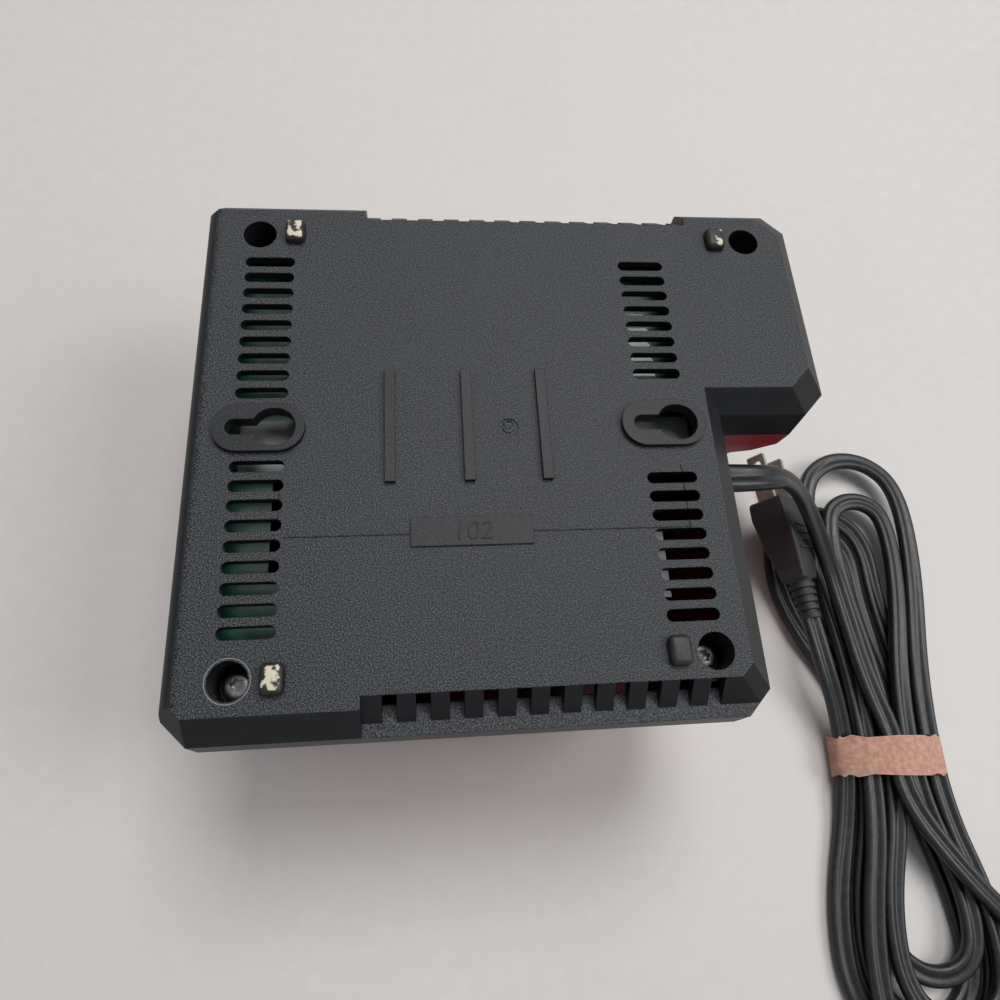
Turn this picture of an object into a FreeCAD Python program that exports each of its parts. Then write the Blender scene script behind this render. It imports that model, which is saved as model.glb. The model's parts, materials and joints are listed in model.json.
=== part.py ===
"""Dual battery charger for cordless tools, lying on its top with the underside up.

Z = 0 is the surface that the charger lies on, +Z points out of its underside, +X runs along its long
side towards the mains cord and +Y away from the viewer. The origin is the bottom centre of the
housing's bounding box. Lengths are millimetres.
"""
import FreeCAD, Part
import Sketcher
import math
import os
import re

from FreeCAD import Placement, Rotation, Vector

doc = FreeCAD.newDocument("charger")
sheet = doc.addObject("Spreadsheet::Sheet", "Sheet")

SIZES = {
    # housing outline
    "body_long": 140.0,
    "body_deep": 147.8,
    "block_reach": 30.8,
    "block_edge": 4.6,
    "plate_level": 80.0,
    "base_deep": 17.0,
    "base_draft": 0.6,
    "plate_chamfer": 5.6,
    "front_round": 5.0,
    "corner_cut": 6.0,
    "front_cut": 3.4,
    "near_cut": 5.7,
    "wall": 2.5,
    "plate_thick": 2.5,
    "grille_wall": 5.9,
    # underside details
    "slot_long": 13.0,
    "slot_wide": 3.0,
    "slot_pitch": 5.0,
    "slot_first": 10.0,
    "column_offset": 51.2,
    "slot_count": 9,
    "keyhole_spacing": 102.0,
    "keyhole_middle": -1.85,
    "keyhole_wide": 10.0,
    "keyhole_run": 10.6,
    "neck_wide": 4.2,
    "neck_run": 6.3,
    "boss_long": 22.2,
    "boss_wide": 12.9,
    "boss_high": 1.4,
    "bar_wide": 2.6,
    "bar_long": 31.0,
    "bar_high": 1.2,
    "bar_pitch": 19.45,
    "plaque_long": 29.4,
    "plaque_wide": 7.2,
    "plaque_high": 0.5,
    "plaque_offset": 27.8,
    "gate_offset": 10.4,
    "gate_diameter": 5.0,
    "gate_deep": 0.3,
    # grilles
    "grille_pitch": 7.5,
    "grille_gap": 3.3,
    "near_gaps": 11,
    "far_gaps": 12,
    "near_first": -20.0,
    "far_first": -20.5,
    "near_start": -26.2,
    "far_end": 66.6,
    "near_setback": 3.0,
    "far_setback": 2.7,
    "far_gap_deep": 13.5,
    # screws, posts and feet
    "left_screw_inset": 15.6,
    "block_screw_gap": 13.6,
    "right_screw_inset": 14.6,
    "screw_side": 59.2,
    "post_diameter": 13.0,
    "well_diameter": 8.8,
    "well_deep": 11.0,
    "screw_head": 7.4,
    "screw_head_high": 3.0,
    "screw_shank": 3.8,
    "screw_long": 18.0,
    "screw_clearance": 0.5,
    "foot_long": 7.0,
    "foot_wide": 5.3,
    "foot_high": 2.5,
    "foot_seat": 1.0,
    "left_foot_inset": 25.2,
    "block_foot_gap": 4.5,
    "right_foot_inset": 23.55,
    # top housing
    "top_level": 14.0,
    "top_wall": 2.8,
    "top_slope": 10.0,
    "shoulder_level": 40.0,
    "shoulder_inset": 2.0,
    "block_top": 44.5,
    "crest_inset": 17.8,
    "flank_inset": 5.8,
    "flank_level": 50.0,
    "brow_level": 56.0,
    # slide dock
    "dock_long": 96.0,
    "dock_wide": 70.0,
    "dock_plate": 3.0,
    "dock_middle": 3.0,
    "rail_spacing": 60.0,
    "rail_web": 3.5,
    "rail_cap": 7.0,
    "rail_cap_high": 3.2,
    "terminal_long": 24.0,
    "terminal_wide": 36.0,
    "terminal_high": 8.5,
    "blade_thick": 0.8,
    "blade_pitch": 7.0,
    # stem socket
    "stem_wide": 28.0,
    "stem_deep": 34.0,
    "stem_wall": 2.0,
    "stem_gap": 0.6,
    "stem_near": 16.5,
    "stem_mouth": 22.0,
    "stem_floor": 58.0,
    # boards
    "board_level": 69.4,
    "board_thick": 1.6,
    "board_inset": 5.0,
    "board_right_inset": 6.0,
    "board_notch": 28.0,
    "board_step": 5.5,
    "board_side": 52.0,
    "sheet_thick": 0.4,
    "standoff_diameter": 6.0,
    "board_screw": 2.8,
    # mains cord
    "cord_diameter": 5.0,
    "cord_level": 58.5,
    "cord_side": -7.0,
    "grommet_reach": 3.0,
    "grommet_wide": 11.0,
    "grommet_high": 8.0,
    "cover_post_diameter": 9.0,
    "fit_gap": 0.25,
    "lens_diameter": 5.0,
    "lens_side": 8.0,
    "dock_corner": 5.0,
    "stem_corner": 6.0,
    "foot_round": 1.0,
}

for row, (alias, value) in enumerate(SIZES.items(), 1):
    sheet.set(f"A{row}", alias)
    sheet.set(f"B{row}", str(value))
    sheet.setAlias(f"B{row}", alias)
doc.recompute()

MAIN = "(-block_reach / 2)"
PARTS = []


def bound(text):
    """The text as an expression on the sheet's cells."""
    return re.sub(r"\b(" + "|".join(SIZES) + r")\b", r"Sheet.\1", str(text))


def value(text):
    """The number that such a text gives now."""
    result = sheet.evalExpression(bound(text))
    return float(getattr(result, "Value", result))


def bind(item, **texts):
    """Binds properties of an object to the sheet; x, y and z are its place."""
    places = {"x": "Placement.Base.x", "y": "Placement.Base.y", "z": "Placement.Base.z"}
    for key, text in texts.items():
        item.setExpression(places.get(key, key), bound(text))


def keep(item, label):
    """Names a finished sub-part."""
    item.Label = label
    PARTS.append(item)
    return item


def new_body(name):
    return doc.addObject("PartDesign::Body", name)


def origin_part(body, role):
    return next(item for item in body.Origin.OriginFeatures if item.Role == role)


def new_sketch(body, name, level, plane="XY_Plane"):
    """A sketch on one of the body's own planes, at a level that is bound to the sheet."""
    sketch = body.newObject("Sketcher::SketchObject", name)
    sketch.AttachmentSupport = [(origin_part(body, plane), "")]
    sketch.MapMode = "FlatFace"
    sketch.setExpression("AttachmentOffset.Base.z", bound(level))
    return sketch


def pin(sketch, geometry, point, x, y):
    """Holds a sketch point at a place that is bound to the sheet."""
    for kind, text in (("DistanceX", x), ("DistanceY", y)):
        index = sketch.addConstraint(Sketcher.Constraint(kind, -1, 1, geometry, point, value(text)))
        sketch.setExpression(f"Constraints[{index}]", bound(text))


def polygon(sketch, points):
    """A closed outline through the points, each pinned."""
    spots = [Vector(value(x), value(y), 0) for x, y in points]
    first = sketch.GeometryCount
    for start, end in zip(spots, spots[1:] + spots[:1]):
        sketch.addGeometry(Part.LineSegment(start, end), False)
    for number, (x, y) in enumerate(points):
        before = first + (number - 1) % len(points)
        sketch.addConstraint(Sketcher.Constraint("Coincident", before, 2, first + number, 1))
        pin(sketch, first + number, 1, x, y)


def rectangle(sketch, x, y, wide, deep):
    """A rectangle round the middle point x, y."""
    left, right = f"{x} - {wide} / 2", f"{x} + {wide} / 2"
    near, far = f"{y} - {deep} / 2", f"{y} + {deep} / 2"
    polygon(sketch, [(left, near), (right, near), (right, far), (left, far)])


def circle(sketch, x, y, diameter):
    radius = value(diameter) / 2
    number = sketch.addGeometry(Part.Circle(Vector(value(x), value(y), 0), Vector(0, 0, 1), radius), False)
    pin(sketch, number, 3, x, y)
    index = sketch.addConstraint(Sketcher.Constraint("Diameter", number, 2 * radius))
    sketch.setExpression(f"Constraints[{index}]", bound(diameter))


def obround(sketch, x, y, long, wide, upright=False):
    """A slot with round ends about its middle point, along X or, upright, along Y."""
    half, radius = f"({long} - {wide}) / 2", value(wide) / 2
    step = (lambda sign: (x, f"{y} + {sign}{half}")) if upright else (lambda sign: (f"{x} + {sign}{half}", y))
    turn = math.pi / 2 if upright else 0.0
    ends = [(step("-1 * "), math.pi / 2 + turn), (step(""), -math.pi / 2 + turn)]
    centres = [Vector(value(at[0]), value(at[1]), 0) for at, _ in ends]
    first = sketch.GeometryCount
    for centre, (_, start) in zip(centres, ends):
        ring = Part.Circle(centre, Vector(0, 0, 1), radius)
        sketch.addGeometry(Part.ArcOfCircle(ring, start, start + math.pi), False)
    side = Vector(radius, 0, 0) if upright else Vector(0, radius, 0)
    low, high = (side, -side) if upright else (-side, side)
    sketch.addGeometry(Part.LineSegment(centres[0] + low, centres[1] + low), False)
    sketch.addGeometry(Part.LineSegment(centres[1] + high, centres[0] + high), False)
    sketch.addConstraint(Sketcher.Constraint("Tangent", first, 2, first + 2, 1))
    sketch.addConstraint(Sketcher.Constraint("Tangent", first + 2, 2, first + 1, 1))
    sketch.addConstraint(Sketcher.Constraint("Tangent", first + 1, 2, first + 3, 1))
    sketch.addConstraint(Sketcher.Constraint("Tangent", first + 3, 2, first, 1))
    pin(sketch, first, 3, *ends[0][0])
    pin(sketch, first + 1, 3, *ends[1][0])
    index = sketch.addConstraint(Sketcher.Constraint("Radius", first, radius))
    sketch.setExpression(f"Constraints[{index}]", bound(f"{wide} / 2"))


def solid_volume(body):
    doc.recompute()
    return body.Shape.Volume


def extrude(body, kind, sketch, length, down=False, both=False):
    """A Pad or a Pocket whose volume change is checked."""
    before = solid_volume(body) if body.Tip and body.Tip.TypeId != "Sketcher::SketchObject" else 0.0
    feature = body.newObject(f"PartDesign::{kind}", f"{kind}_{sketch.Name}")
    feature.Profile = sketch
    feature.Refine = False
    feature.Midplane = both
    feature.Reversed = down != (kind == "Pocket") if kind == "Pad" else not down
    feature.setExpression("Length", bound(length))
    sketch.Visibility = False
    after = solid_volume(body)
    if (kind == "Pad") != (after > before) or abs(after - before) < 1e-3:
        raise RuntimeError(f"{feature.Name} of {body.Name} changed nothing: {before:.1f} to {after:.1f}")
    return feature


def pad(body, sketch, length, down=False, both=False):
    return extrude(body, "Pad", sketch, length, down, both)


def pocket(body, sketch, length, down=True, both=False):
    return extrude(body, "Pocket", sketch, length, down, both)


def loft(body, kind, sections):
    """A ruled loft through outlines, each with its level."""
    sketches = []
    for number, (level, points) in enumerate(sections):
        sketch = new_sketch(body, f"{body.Name}_{kind}_{number}_at", level)
        polygon(sketch, points)
        sketch.Visibility = False
        sketches.append(sketch)
    doc.recompute()
    feature = body.newObject(f"PartDesign::{kind}", f"{kind}_{body.Name}")
    feature.Profile = sketches[0]
    feature.Sections = sketches[1:]
    feature.Ruled = True
    feature.Refine = False
    doc.recompute()
    return feature


def soften(body, kind, size, chosen):
    """A Fillet or Chamfer on the edges of the tip that a test picks."""
    doc.recompute()
    tip = body.Tip
    names = [f"Edge{number}" for number, edge in enumerate(tip.Shape.Edges, 1) if chosen(edge)]
    if not names:
        raise RuntimeError(f"no edge to soften on {body.Name}")
    feature = body.newObject(f"PartDesign::{kind}", f"{kind}_{body.Name}")
    feature.Base = (tip, names)
    feature.Refine = False
    feature.setExpression("Radius" if kind == "Fillet" else "Size", bound(size))
    doc.recompute()
    return feature


def round_front(body, left, top, radius):
    """Rounds the long top edge of the front wall: a pocket along Y outside a quarter circle."""
    sketch = new_sketch(body, "front_edge", "0", "XZ_Plane")
    corner = [
        (f"{left} + {radius}", top),
        (f"{left} + {radius}", f"{top} + 1"),
        (f"{left} - 1", f"{top} + 1"),
        (f"{left} - 1", f"{top} - {radius}"),
        (left, f"{top} - {radius}"),
    ]
    spots = [Vector(value(x), value(y), 0) for x, y in corner]
    for number, (start, end) in enumerate(zip(spots, spots[1:])):
        sketch.addGeometry(Part.LineSegment(start, end), False)
        pin(sketch, number, 1, *corner[number])
        if number:
            sketch.addConstraint(Sketcher.Constraint("Coincident", number - 1, 2, number, 1))
    middle = Vector(spots[0].x, spots[-1].y, 0)
    ring = Part.Circle(middle, Vector(0, 0, 1), value(radius))
    arc = sketch.addGeometry(Part.ArcOfCircle(ring, math.pi / 2, math.pi), False)
    pin(sketch, arc - 1, 2, *corner[-1])
    sketch.addConstraint(Sketcher.Constraint("Coincident", arc, 1, 0, 1))
    sketch.addConstraint(Sketcher.Constraint("Coincident", arc, 2, arc - 1, 2))
    index = sketch.addConstraint(Sketcher.Constraint("Radius", arc, value(radius)))
    sketch.setExpression(f"Constraints[{index}]", bound(radius))
    pocket(body, sketch, "body_deep * 2", both=True)


def upright(edge):
    """True for a straight edge along Z."""
    line = edge.Vertexes[-1].Point - edge.Vertexes[0].Point
    return line.Length > 1e-6 and abs(abs(line.normalize().z) - 1) < 1e-6


def box(name, x, y, z, wide, deep, high):
    """A box from its low corner."""
    item = doc.addObject("Part::Box", name)
    bind(item, Length=wide, Width=deep, Height=high, x=x, y=y, z=z)
    return item


def cylinder(name, x, y, z, diameter, length, along="z"):
    """A cylinder from the middle of its low end, along one axis."""
    item = doc.addObject("Part::Cylinder", name)
    turn = {"z": Rotation(), "x": Rotation(Vector(0, 1, 0), 90), "y": Rotation(Vector(1, 0, 0), -90)}[along]
    item.Placement = Placement(Vector(), turn)
    bind(item, Radius=f"({diameter}) / 2", Height=length, x=x, y=y, z=z)
    return item


def fuse(name, *items):
    item = doc.addObject("Part::MultiFuse", name)
    item.Shapes = list(items)
    return item


def cut(name, base, tool):
    item = doc.addObject("Part::Cut", name)
    item.Base = base
    item.Tool = tool
    return item


def peg(x, y, low, high, diameter):
    """A round solid between two levels."""
    bottom = value(low)
    return Part.makeCylinder(value(diameter) / 2, value(high) - bottom, Vector(value(x), value(y), bottom))


def slab(x, y, low, high, wide, deep):
    """A rectangular solid between two levels, about its middle point."""
    bottom = value(low)
    wide, deep = value(wide), value(deep)
    corner = Vector(value(x) - wide / 2, value(y) - deep / 2, bottom)
    return Part.makeBox(wide, deep, value(high) - bottom, corner)


def lozenge(x, y, low, high, long, wide, upright=False):
    """A slot-shaped solid with round ends between two levels, along X or, upright, along Y."""
    long, radius, bottom = value(long), value(wide) / 2, value(low)
    run = long / 2 - radius
    ends = [Vector(-run, -radius, 0), Vector(run, -radius, 0), Vector(run, radius, 0), Vector(-run, radius, 0)]
    edges = [
        Part.LineSegment(ends[0], ends[1]).toShape(),
        Part.Arc(ends[1], Vector(run + radius, 0, 0), ends[2]).toShape(),
        Part.LineSegment(ends[2], ends[3]).toShape(),
        Part.Arc(ends[3], Vector(-run - radius, 0, 0), ends[0]).toShape(),
    ]
    solid = Part.Face(Part.Wire(edges)).extrude(Vector(0, 0, value(high) - bottom))
    turn = Rotation(Vector(0, 0, 1), 90) if upright else Rotation()
    solid.Placement = Placement(Vector(value(x), value(y), bottom), turn)
    return solid


def own_shape(name, shape):
    """A sub-part whose shape is worked out here from the sheet's sizes."""
    item = doc.addObject("Part::Feature", name)
    item.Shape = shape
    return keep(item, name)


def group(name, *items):
    item = doc.addObject("Part::Compound", name)
    item.Links = list(items)
    return item


HALF_LONG = "body_long / 2"
HALF_DEEP = "body_deep / 2"
LEFT_END = f"{MAIN} - {HALF_LONG}"
RIGHT_END = f"{MAIN} + {HALF_LONG}"
STEM_LEFT = f"{RIGHT_END} + stem_gap"
SEAM = "(plate_level - base_deep)"
BOARD_TOP = "(board_level + board_thick)"
SOCKET_TOP = "(stem_floor + stem_wall + board_thick)"


def base_outline(side, front, near, far, block=None):
    """The housing's plan, drawn in from its seam line.

    side, front, near and far are what the right, left, near and far walls are drawn in; block is
    what the side block's own walls are drawn in.
    """
    block = block or side
    left = f"{MAIN} - {HALF_LONG} + {front}"
    right = f"{MAIN} + {HALF_LONG} - {side}"
    outer = f"{MAIN} + {HALF_LONG} + block_reach - {block}"
    low = f"-{HALF_DEEP} + {near}"
    high = f"{HALF_DEEP} - {far}"
    edge = f"block_edge + {block}"
    return [
        (left, f"{low} + near_cut"),
        (f"{left} + near_cut", low),
        (f"{right} - corner_cut", low),
        (right, f"{low} + corner_cut"),
        (right, edge),
        (f"{outer} - corner_cut", edge),
        (outer, f"{edge} + corner_cut"),
        (outer, f"{high} - corner_cut"),
        (f"{outer} - corner_cut", high),
        (f"{left} + front_cut", high),
        (left, f"{high} - front_cut"),
    ]


def make_lower_housing():
    """The black base: a drafted tray with a chamfered plate, grilles, vents and keyholes."""
    body = new_body("tray")
    shoulder = "(plate_level - plate_chamfer)"
    top = "base_draft + plate_chamfer"
    loft(body, "AdditiveLoft", [
        (SEAM, base_outline("0", "0", "0", "0")),
        (shoulder, base_outline("base_draft", "base_draft", "base_draft", "base_draft")),
        ("plate_level", base_outline(f"({top})", "base_draft", f"({top})", f"({top})")),
    ])
    round_front(body, f"{MAIN} - {HALF_LONG} + base_draft", "plate_level", "front_round")

    # The hollow keeps a wall all round, thicker behind the two grilles.
    side = "(base_draft + wall)"
    ends = "(base_draft + grille_wall)"
    slope = "(plate_chamfer - plate_thick + 1.0)"
    loft(body, "SubtractiveLoft", [
        (SEAM, base_outline(side, side, ends, ends)),
        (f"{shoulder} - 1.0", base_outline(side, side, ends, ends)),
        ("plate_level - plate_thick", base_outline(f"({side} + {slope})", f"({side} + 1.0)",
                                                   f"({ends} + {slope})", f"({ends} + {slope})")),
    ])

    # The slanted plate edge is set back over the near grille, and the whole far wall behind the other.
    low = f"-{HALF_DEEP} + base_draft + near_setback"
    near_ledge = new_sketch(body, "near_setback", f"{MAIN} + near_start", "YZ_Plane")
    polygon(near_ledge, [
        (f"{low} - 10", shoulder),
        (low, shoulder),
        (f"{low} + plate_chamfer + 2", "plate_level + 2"),
        (f"{low} - 10", "plate_level + 2"),
    ])
    pocket(body, near_ledge, "body_long", down=False)
    high = f"{HALF_DEEP} - base_draft - far_setback"
    far_face = new_sketch(body, "far_setback", f"{MAIN} + near_start", "YZ_Plane")
    polygon(far_face, [
        (high, f"{SEAM} - 1"),
        (f"{high} + 10", f"{SEAM} - 1"),
        (f"{high} + 10", "plate_level + 2"),
        (f"{high} - plate_chamfer - 2", "plate_level + 2"),
        (high, shoulder),
    ])
    pocket(body, far_face, "far_end - near_start", down=False)

    doc.recompute()

    # Inside: screw posts down to the seam, standoffs down to the board, rests on the stem socket.
    ceiling = "plate_level - plate_thick + 0.5"
    added = [peg(x, y, SEAM, ceiling, "post_diameter") for x, y in SCREW_SPOTS]
    added += [peg(x, y, BOARD_TOP, ceiling, "standoff_diameter") for x, y in STANDOFF_SPOTS]
    added += [peg(f"{STEM_LEFT} + stem_wide / 2", y, SOCKET_TOP, ceiling, "standoff_diameter")
              for y in ("stem_near + 8", "stem_near + stem_deep - 8")]

    # Raised parts of the underside.
    keyholes = [f"{MAIN} + keyhole_middle {sign} keyhole_spacing / 2" for sign in "-+"]
    surface = "plate_level - 0.5"
    added += [lozenge(f"{x} + 1.7", "0", surface, "plate_level + boss_high", "boss_long", "boss_wide")
              for x in keyholes]
    added += [slab(f"{MAIN} + {step} * bar_pitch", "0.5", surface, "plate_level + bar_high",
                   "bar_wide", "bar_long") for step in (-1, 0, 1)]
    added += [slab(MAIN, "-plaque_offset", surface, "plate_level + plaque_high", "plaque_long", "plaque_wide")]

    # Vents, keyholes with their necks, screw wells and holes, the feet's seats and the gate mark.
    under = "plate_level - plate_thick - 1"
    over = "plate_level + boss_high + 1"
    cuts = [lozenge(f"{MAIN} + {side} * column_offset", f"{sign} * (slot_first + {step} * slot_pitch)",
                    under, over, "slot_long", "slot_wide")
            for side in (-1, 1) for sign in (-1, 1) for step in range(int(value("slot_count")))
            if side < 0 or step > 0]
    cuts += [lozenge(f"{x} + keyhole_run / 2", "0", under, over, "keyhole_run", "keyhole_wide")
             for x in keyholes]
    cuts += [lozenge(f"{x} - neck_run / 2 + 2", "0", under, over, "neck_run + 4", "neck_wide")
             for x in keyholes]
    cuts += [peg(x, y, "plate_level - well_deep", over, "well_diameter") for x, y in SCREW_SPOTS]
    cuts += [peg(x, y, f"{SEAM} - 1", over, "screw_shank + screw_clearance") for x, y in SCREW_SPOTS]
    cuts += [lozenge(x, y, "plate_level - foot_seat", over, "foot_long", "foot_wide", upright=True)
             for x, y in FOOT_SPOTS]
    gate = [f"{MAIN} + gate_offset", "-0.4", "plate_level - gate_deep", over]
    cuts += [peg(*gate, "gate_diameter").cut(peg(*gate, "gate_diameter - 2"))]
    cuts += [peg(x, y, f"{BOARD_TOP} - 1", "plate_level - plate_thick - 0.5", "board_screw + 0.2")
             for x, y in STANDOFF_SPOTS]

    # Grilles: each gap goes through the slanted edge, down to the shoulder or part way down the wall.
    for first, count, edge, way, bottom in (
        ("near_first", "near_gaps", low, 1, shoulder),
        ("far_first", "far_gaps", high, -1, "plate_level - far_gap_deep"),
    ):
        for step in range(int(value(count))):
            x = f"{MAIN} + {first} + {step} * grille_pitch"
            cuts += [slab(x, f"{edge} + {way} * 2", bottom, "plate_level - plate_thick", "grille_gap", "16"),
                     slab(x, f"{edge} + {way} * (plate_chamfer / 2 - 3)", bottom, over,
                          "grille_gap", "plate_chamfer + 6")]
    return own_shape("lower_housing", body.Shape.fuse(added).cut(cuts))


SCREW_SPOTS = [
    (f"{LEFT_END} + left_screw_inset", "screw_side"),
    (f"{RIGHT_END} + block_screw_gap", "screw_side"),
    (f"{LEFT_END} + left_screw_inset", "-screw_side - 1.1"),
    (f"{RIGHT_END} - right_screw_inset", "-screw_side + 0.6"),
]
FOOT_SPOTS = [
    (f"{LEFT_END} + left_foot_inset", "screw_side + 0.4"),
    (f"{RIGHT_END} + block_foot_gap", "screw_side"),
    (f"{LEFT_END} + left_foot_inset", "-screw_side - 1.1"),
    (f"{RIGHT_END} - right_foot_inset", "-screw_side + 1"),
]
STANDOFF_SPOTS = [
    (f"{MAIN} - 38", "board_side - 6"),
    (f"{MAIN} + 34", "board_side - 6"),
    (f"{MAIN} - 38", "-board_side + 6"),
    (f"{MAIN} + 34", "-board_side + 6"),
]
make_lower_housing()


def cover_outline(inset):
    """The main top housing's plan, drawn in evenly from the seam line."""
    left, right = f"{MAIN} - {HALF_LONG} + {inset}", f"{MAIN} + {HALF_LONG} - {inset}"
    low, high = f"-{HALF_DEEP} + {inset}", f"{HALF_DEEP} - {inset}"
    return [
        (left, f"{low} + near_cut"),
        (f"{left} + near_cut", low),
        (f"{right} - corner_cut", low),
        (right, f"{low} + corner_cut"),
        (right, f"{high} - corner_cut"),
        (f"{right} - corner_cut", high),
        (f"{left} + front_cut", high),
        (left, f"{high} - front_cut"),
    ]


def block_outline(inner, outer, inset):
    """The side block's plan between two X places, drawn in on its near and far walls."""
    near, far = f"block_edge + {inset}", f"{HALF_DEEP} - {inset}"
    return [
        (inner, near),
        (f"{outer} - corner_cut", near),
        (outer, f"{near} + corner_cut"),
        (outer, f"{far} - corner_cut"),
        (f"{outer} - corner_cut", far),
        (inner, far),
    ]


def make_upper_housing():
    """The red top: a tapered hood for the main part, and a lower sloping one over the side block."""
    body = new_body("hood")
    root = f"{MAIN} + {HALF_LONG} - 14"
    reach = f"{MAIN} + {HALF_LONG} + block_reach"
    loft(body, "AdditiveLoft", [
        (SEAM, cover_outline("0")),
        ("shoulder_level", cover_outline("shoulder_inset")),
        ("top_level", cover_outline("top_slope")),
    ])
    loft(body, "AdditiveLoft", [
        (SEAM, block_outline(root, reach, "0")),
        ("brow_level", block_outline(root, f"{reach} - 0.4", "0.3")),
        ("flank_level", block_outline(root, f"{reach} - flank_inset", "1")),
        ("block_top", block_outline(root, f"{reach} - crest_inset", "2")),
    ])
    loft(body, "SubtractiveLoft", [
        (SEAM, cover_outline("wall")),
        ("shoulder_level", cover_outline("(shoulder_inset + wall)")),
        ("top_level + top_wall", cover_outline("(top_slope + wall - 1)")),
    ])
    loft(body, "SubtractiveLoft", [
        (SEAM, block_outline(f"{root} - 2", f"{reach} - wall", "wall")),
        ("brow_level", block_outline(f"{root} - 2", f"{reach} - 0.4 - wall", "(0.3 + wall)")),
        ("flank_level + wall", block_outline(f"{root} - 2", f"{reach} - flank_inset - wall", "(1 + wall)")),
        ("block_top + wall", block_outline(f"{root} - 2", f"{reach} - crest_inset - wall", "(2 + wall)")),
    ])
    doc.recompute()

    # Screw posts up from the roof to the seam, and ribs that carry the stem socket's flange.
    added = []
    for (x, y), start in zip(SCREW_SPOTS, ("top_level + 1", "flank_level - 2", "top_level + 1", "top_level + 1")):
        added.append(peg(x, y, start, SEAM, "cover_post_diameter"))
    socket_x = f"{STEM_LEFT} + stem_wide / 2"
    socket_y = "stem_near + stem_deep / 2"
    for sign in "-+":
        added.append(slab(socket_x, f"{socket_y} {sign} (stem_deep / 2 + 1.5)", "block_top + wall - 1",
                          "stem_floor - 2", "10", "1.6"))
    cuts = [peg(x, y, f"{SEAM} - 14", f"{SEAM} + 1", "screw_shank + 0.1") for x, y in SCREW_SPOTS]
    cuts += [slab(socket_x, socket_y, "block_top - 4", f"{SEAM} - 1", "stem_wide + fit_gap * 2",
                  "stem_deep + fit_gap * 2")]
    cuts += [slab(TERMINAL_X, "0", "top_level - 2", "top_level + top_wall + 1", "terminal_long + fit_gap * 2",
                  "terminal_wide + fit_gap * 2")]
    cuts += [peg(LENS_X, y, "top_level - 2", "top_level + top_wall + 1", "lens_diameter") for y in LENS_Y]
    cuts += [slab(f"{MAIN} + {HALF_LONG} - 2", "cord_side", "cord_level - grommet_high / 2", f"{SEAM} + 1",
                  "8", "grommet_wide")]
    return own_shape("upper_housing", body.Shape.fuse(added).cut(cuts))


def make_slide_dock():
    """The black dock: a plate with two undercut rails that a slide pack runs on, and an end stop."""
    body = new_body("slide_dock")
    middle = f"{MAIN} + dock_middle"
    start, end = f"{middle} - dock_long / 2", f"{middle} + dock_long / 2"
    plate = new_sketch(body, "dock_plate_at", "top_level - dock_plate")
    rectangle(plate, middle, "0", "dock_long", "dock_wide")
    pad(body, plate, "dock_plate")
    soften(body, "Fillet", "dock_corner", upright)
    rails = new_sketch(body, "dock_rails_at", start, "YZ_Plane")
    for sign in ("-", ""):
        web = f"({sign}rail_spacing / 2)"
        polygon(rails, [
            (f"{web} - rail_web / 2", "top_level - dock_plate"),
            (f"{web} - rail_web / 2", "rail_cap_high"),
            (f"{web} - rail_cap / 2", "rail_cap_high"),
            (f"{web} - rail_cap / 2", "0"),
            (f"{web} + rail_cap / 2", "0"),
            (f"{web} + rail_cap / 2", "rail_cap_high"),
            (f"{web} + rail_web / 2", "rail_cap_high"),
            (f"{web} + rail_web / 2", "top_level - dock_plate"),
        ])
    pad(body, rails, "dock_long - dock_corner")
    stop = new_sketch(body, "dock_stop_at", "1.5")
    rectangle(stop, f"({end} - dock_corner - 1.5)", "0", "3", "(rail_spacing - rail_web)")
    pad(body, stop, "top_level - dock_plate - 1.5")
    latch = new_sketch(body, "dock_latch_at", "top_level - dock_plate")
    rectangle(latch, f"({start} + 12)", "0", "8", "22")
    pocket(body, latch, "dock_plate - 1", down=False)
    hole = new_sketch(body, "dock_hole_at", "top_level")
    rectangle(hole, TERMINAL_X, "0", "(terminal_long + fit_gap * 2)", "(terminal_wide + fit_gap * 2)")
    pocket(body, hole, "dock_plate")
    return keep(body, "slide_dock")


def make_terminals():
    """The terminal block that stands through the dock, with its flat blades in slots."""
    mouth, tail = "top_level - dock_plate - terminal_high", "top_level + top_wall + 6"
    core = box("terminal_core", f"{TERMINAL_X} - terminal_long / 2", "-terminal_wide / 2", mouth,
               "terminal_long", "terminal_wide", f"{tail} - ({mouth})")
    flange = box("terminal_flange", f"{TERMINAL_X} - terminal_long / 2 - 2", "-terminal_wide / 2 - 2",
                 "top_level + top_wall", "terminal_long + 4", "terminal_wide + 4", "2")
    spots = [f"{step} * blade_pitch" for step in range(-2, 3)]
    slots = [box(f"blade_slot_{number}", f"{TERMINAL_X} - terminal_long / 2 - 1", f"{y} - blade_thick", mouth,
                 "terminal_long - 4", "blade_thick * 2", "terminal_high")
             for number, y in enumerate(spots)]
    fits = [box(f"blade_fit_{number}", f"{TERMINAL_X} - 8", f"{y} - blade_thick / 2",
                f"{mouth} + terminal_high", "12", "blade_thick", f"{tail} - ({mouth})")
            for number, y in enumerate(spots)]
    body = cut("terminal_body", fuse("terminal_whole", core, flange), group("terminal_slots", *slots))
    keep(cut("pack_terminal_block", body, group("terminal_fits", *fits)), "pack_terminal_block")
    blades = [box(f"blade_{number}", f"{TERMINAL_X} - 8", f"{y} - blade_thick / 2", f"{mouth} + 1.5",
                  "12", "blade_thick", f"{tail} + 2 - ({mouth})") for number, y in enumerate(spots)]
    keep(group("pack_terminals", *blades), "pack_terminals")


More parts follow.
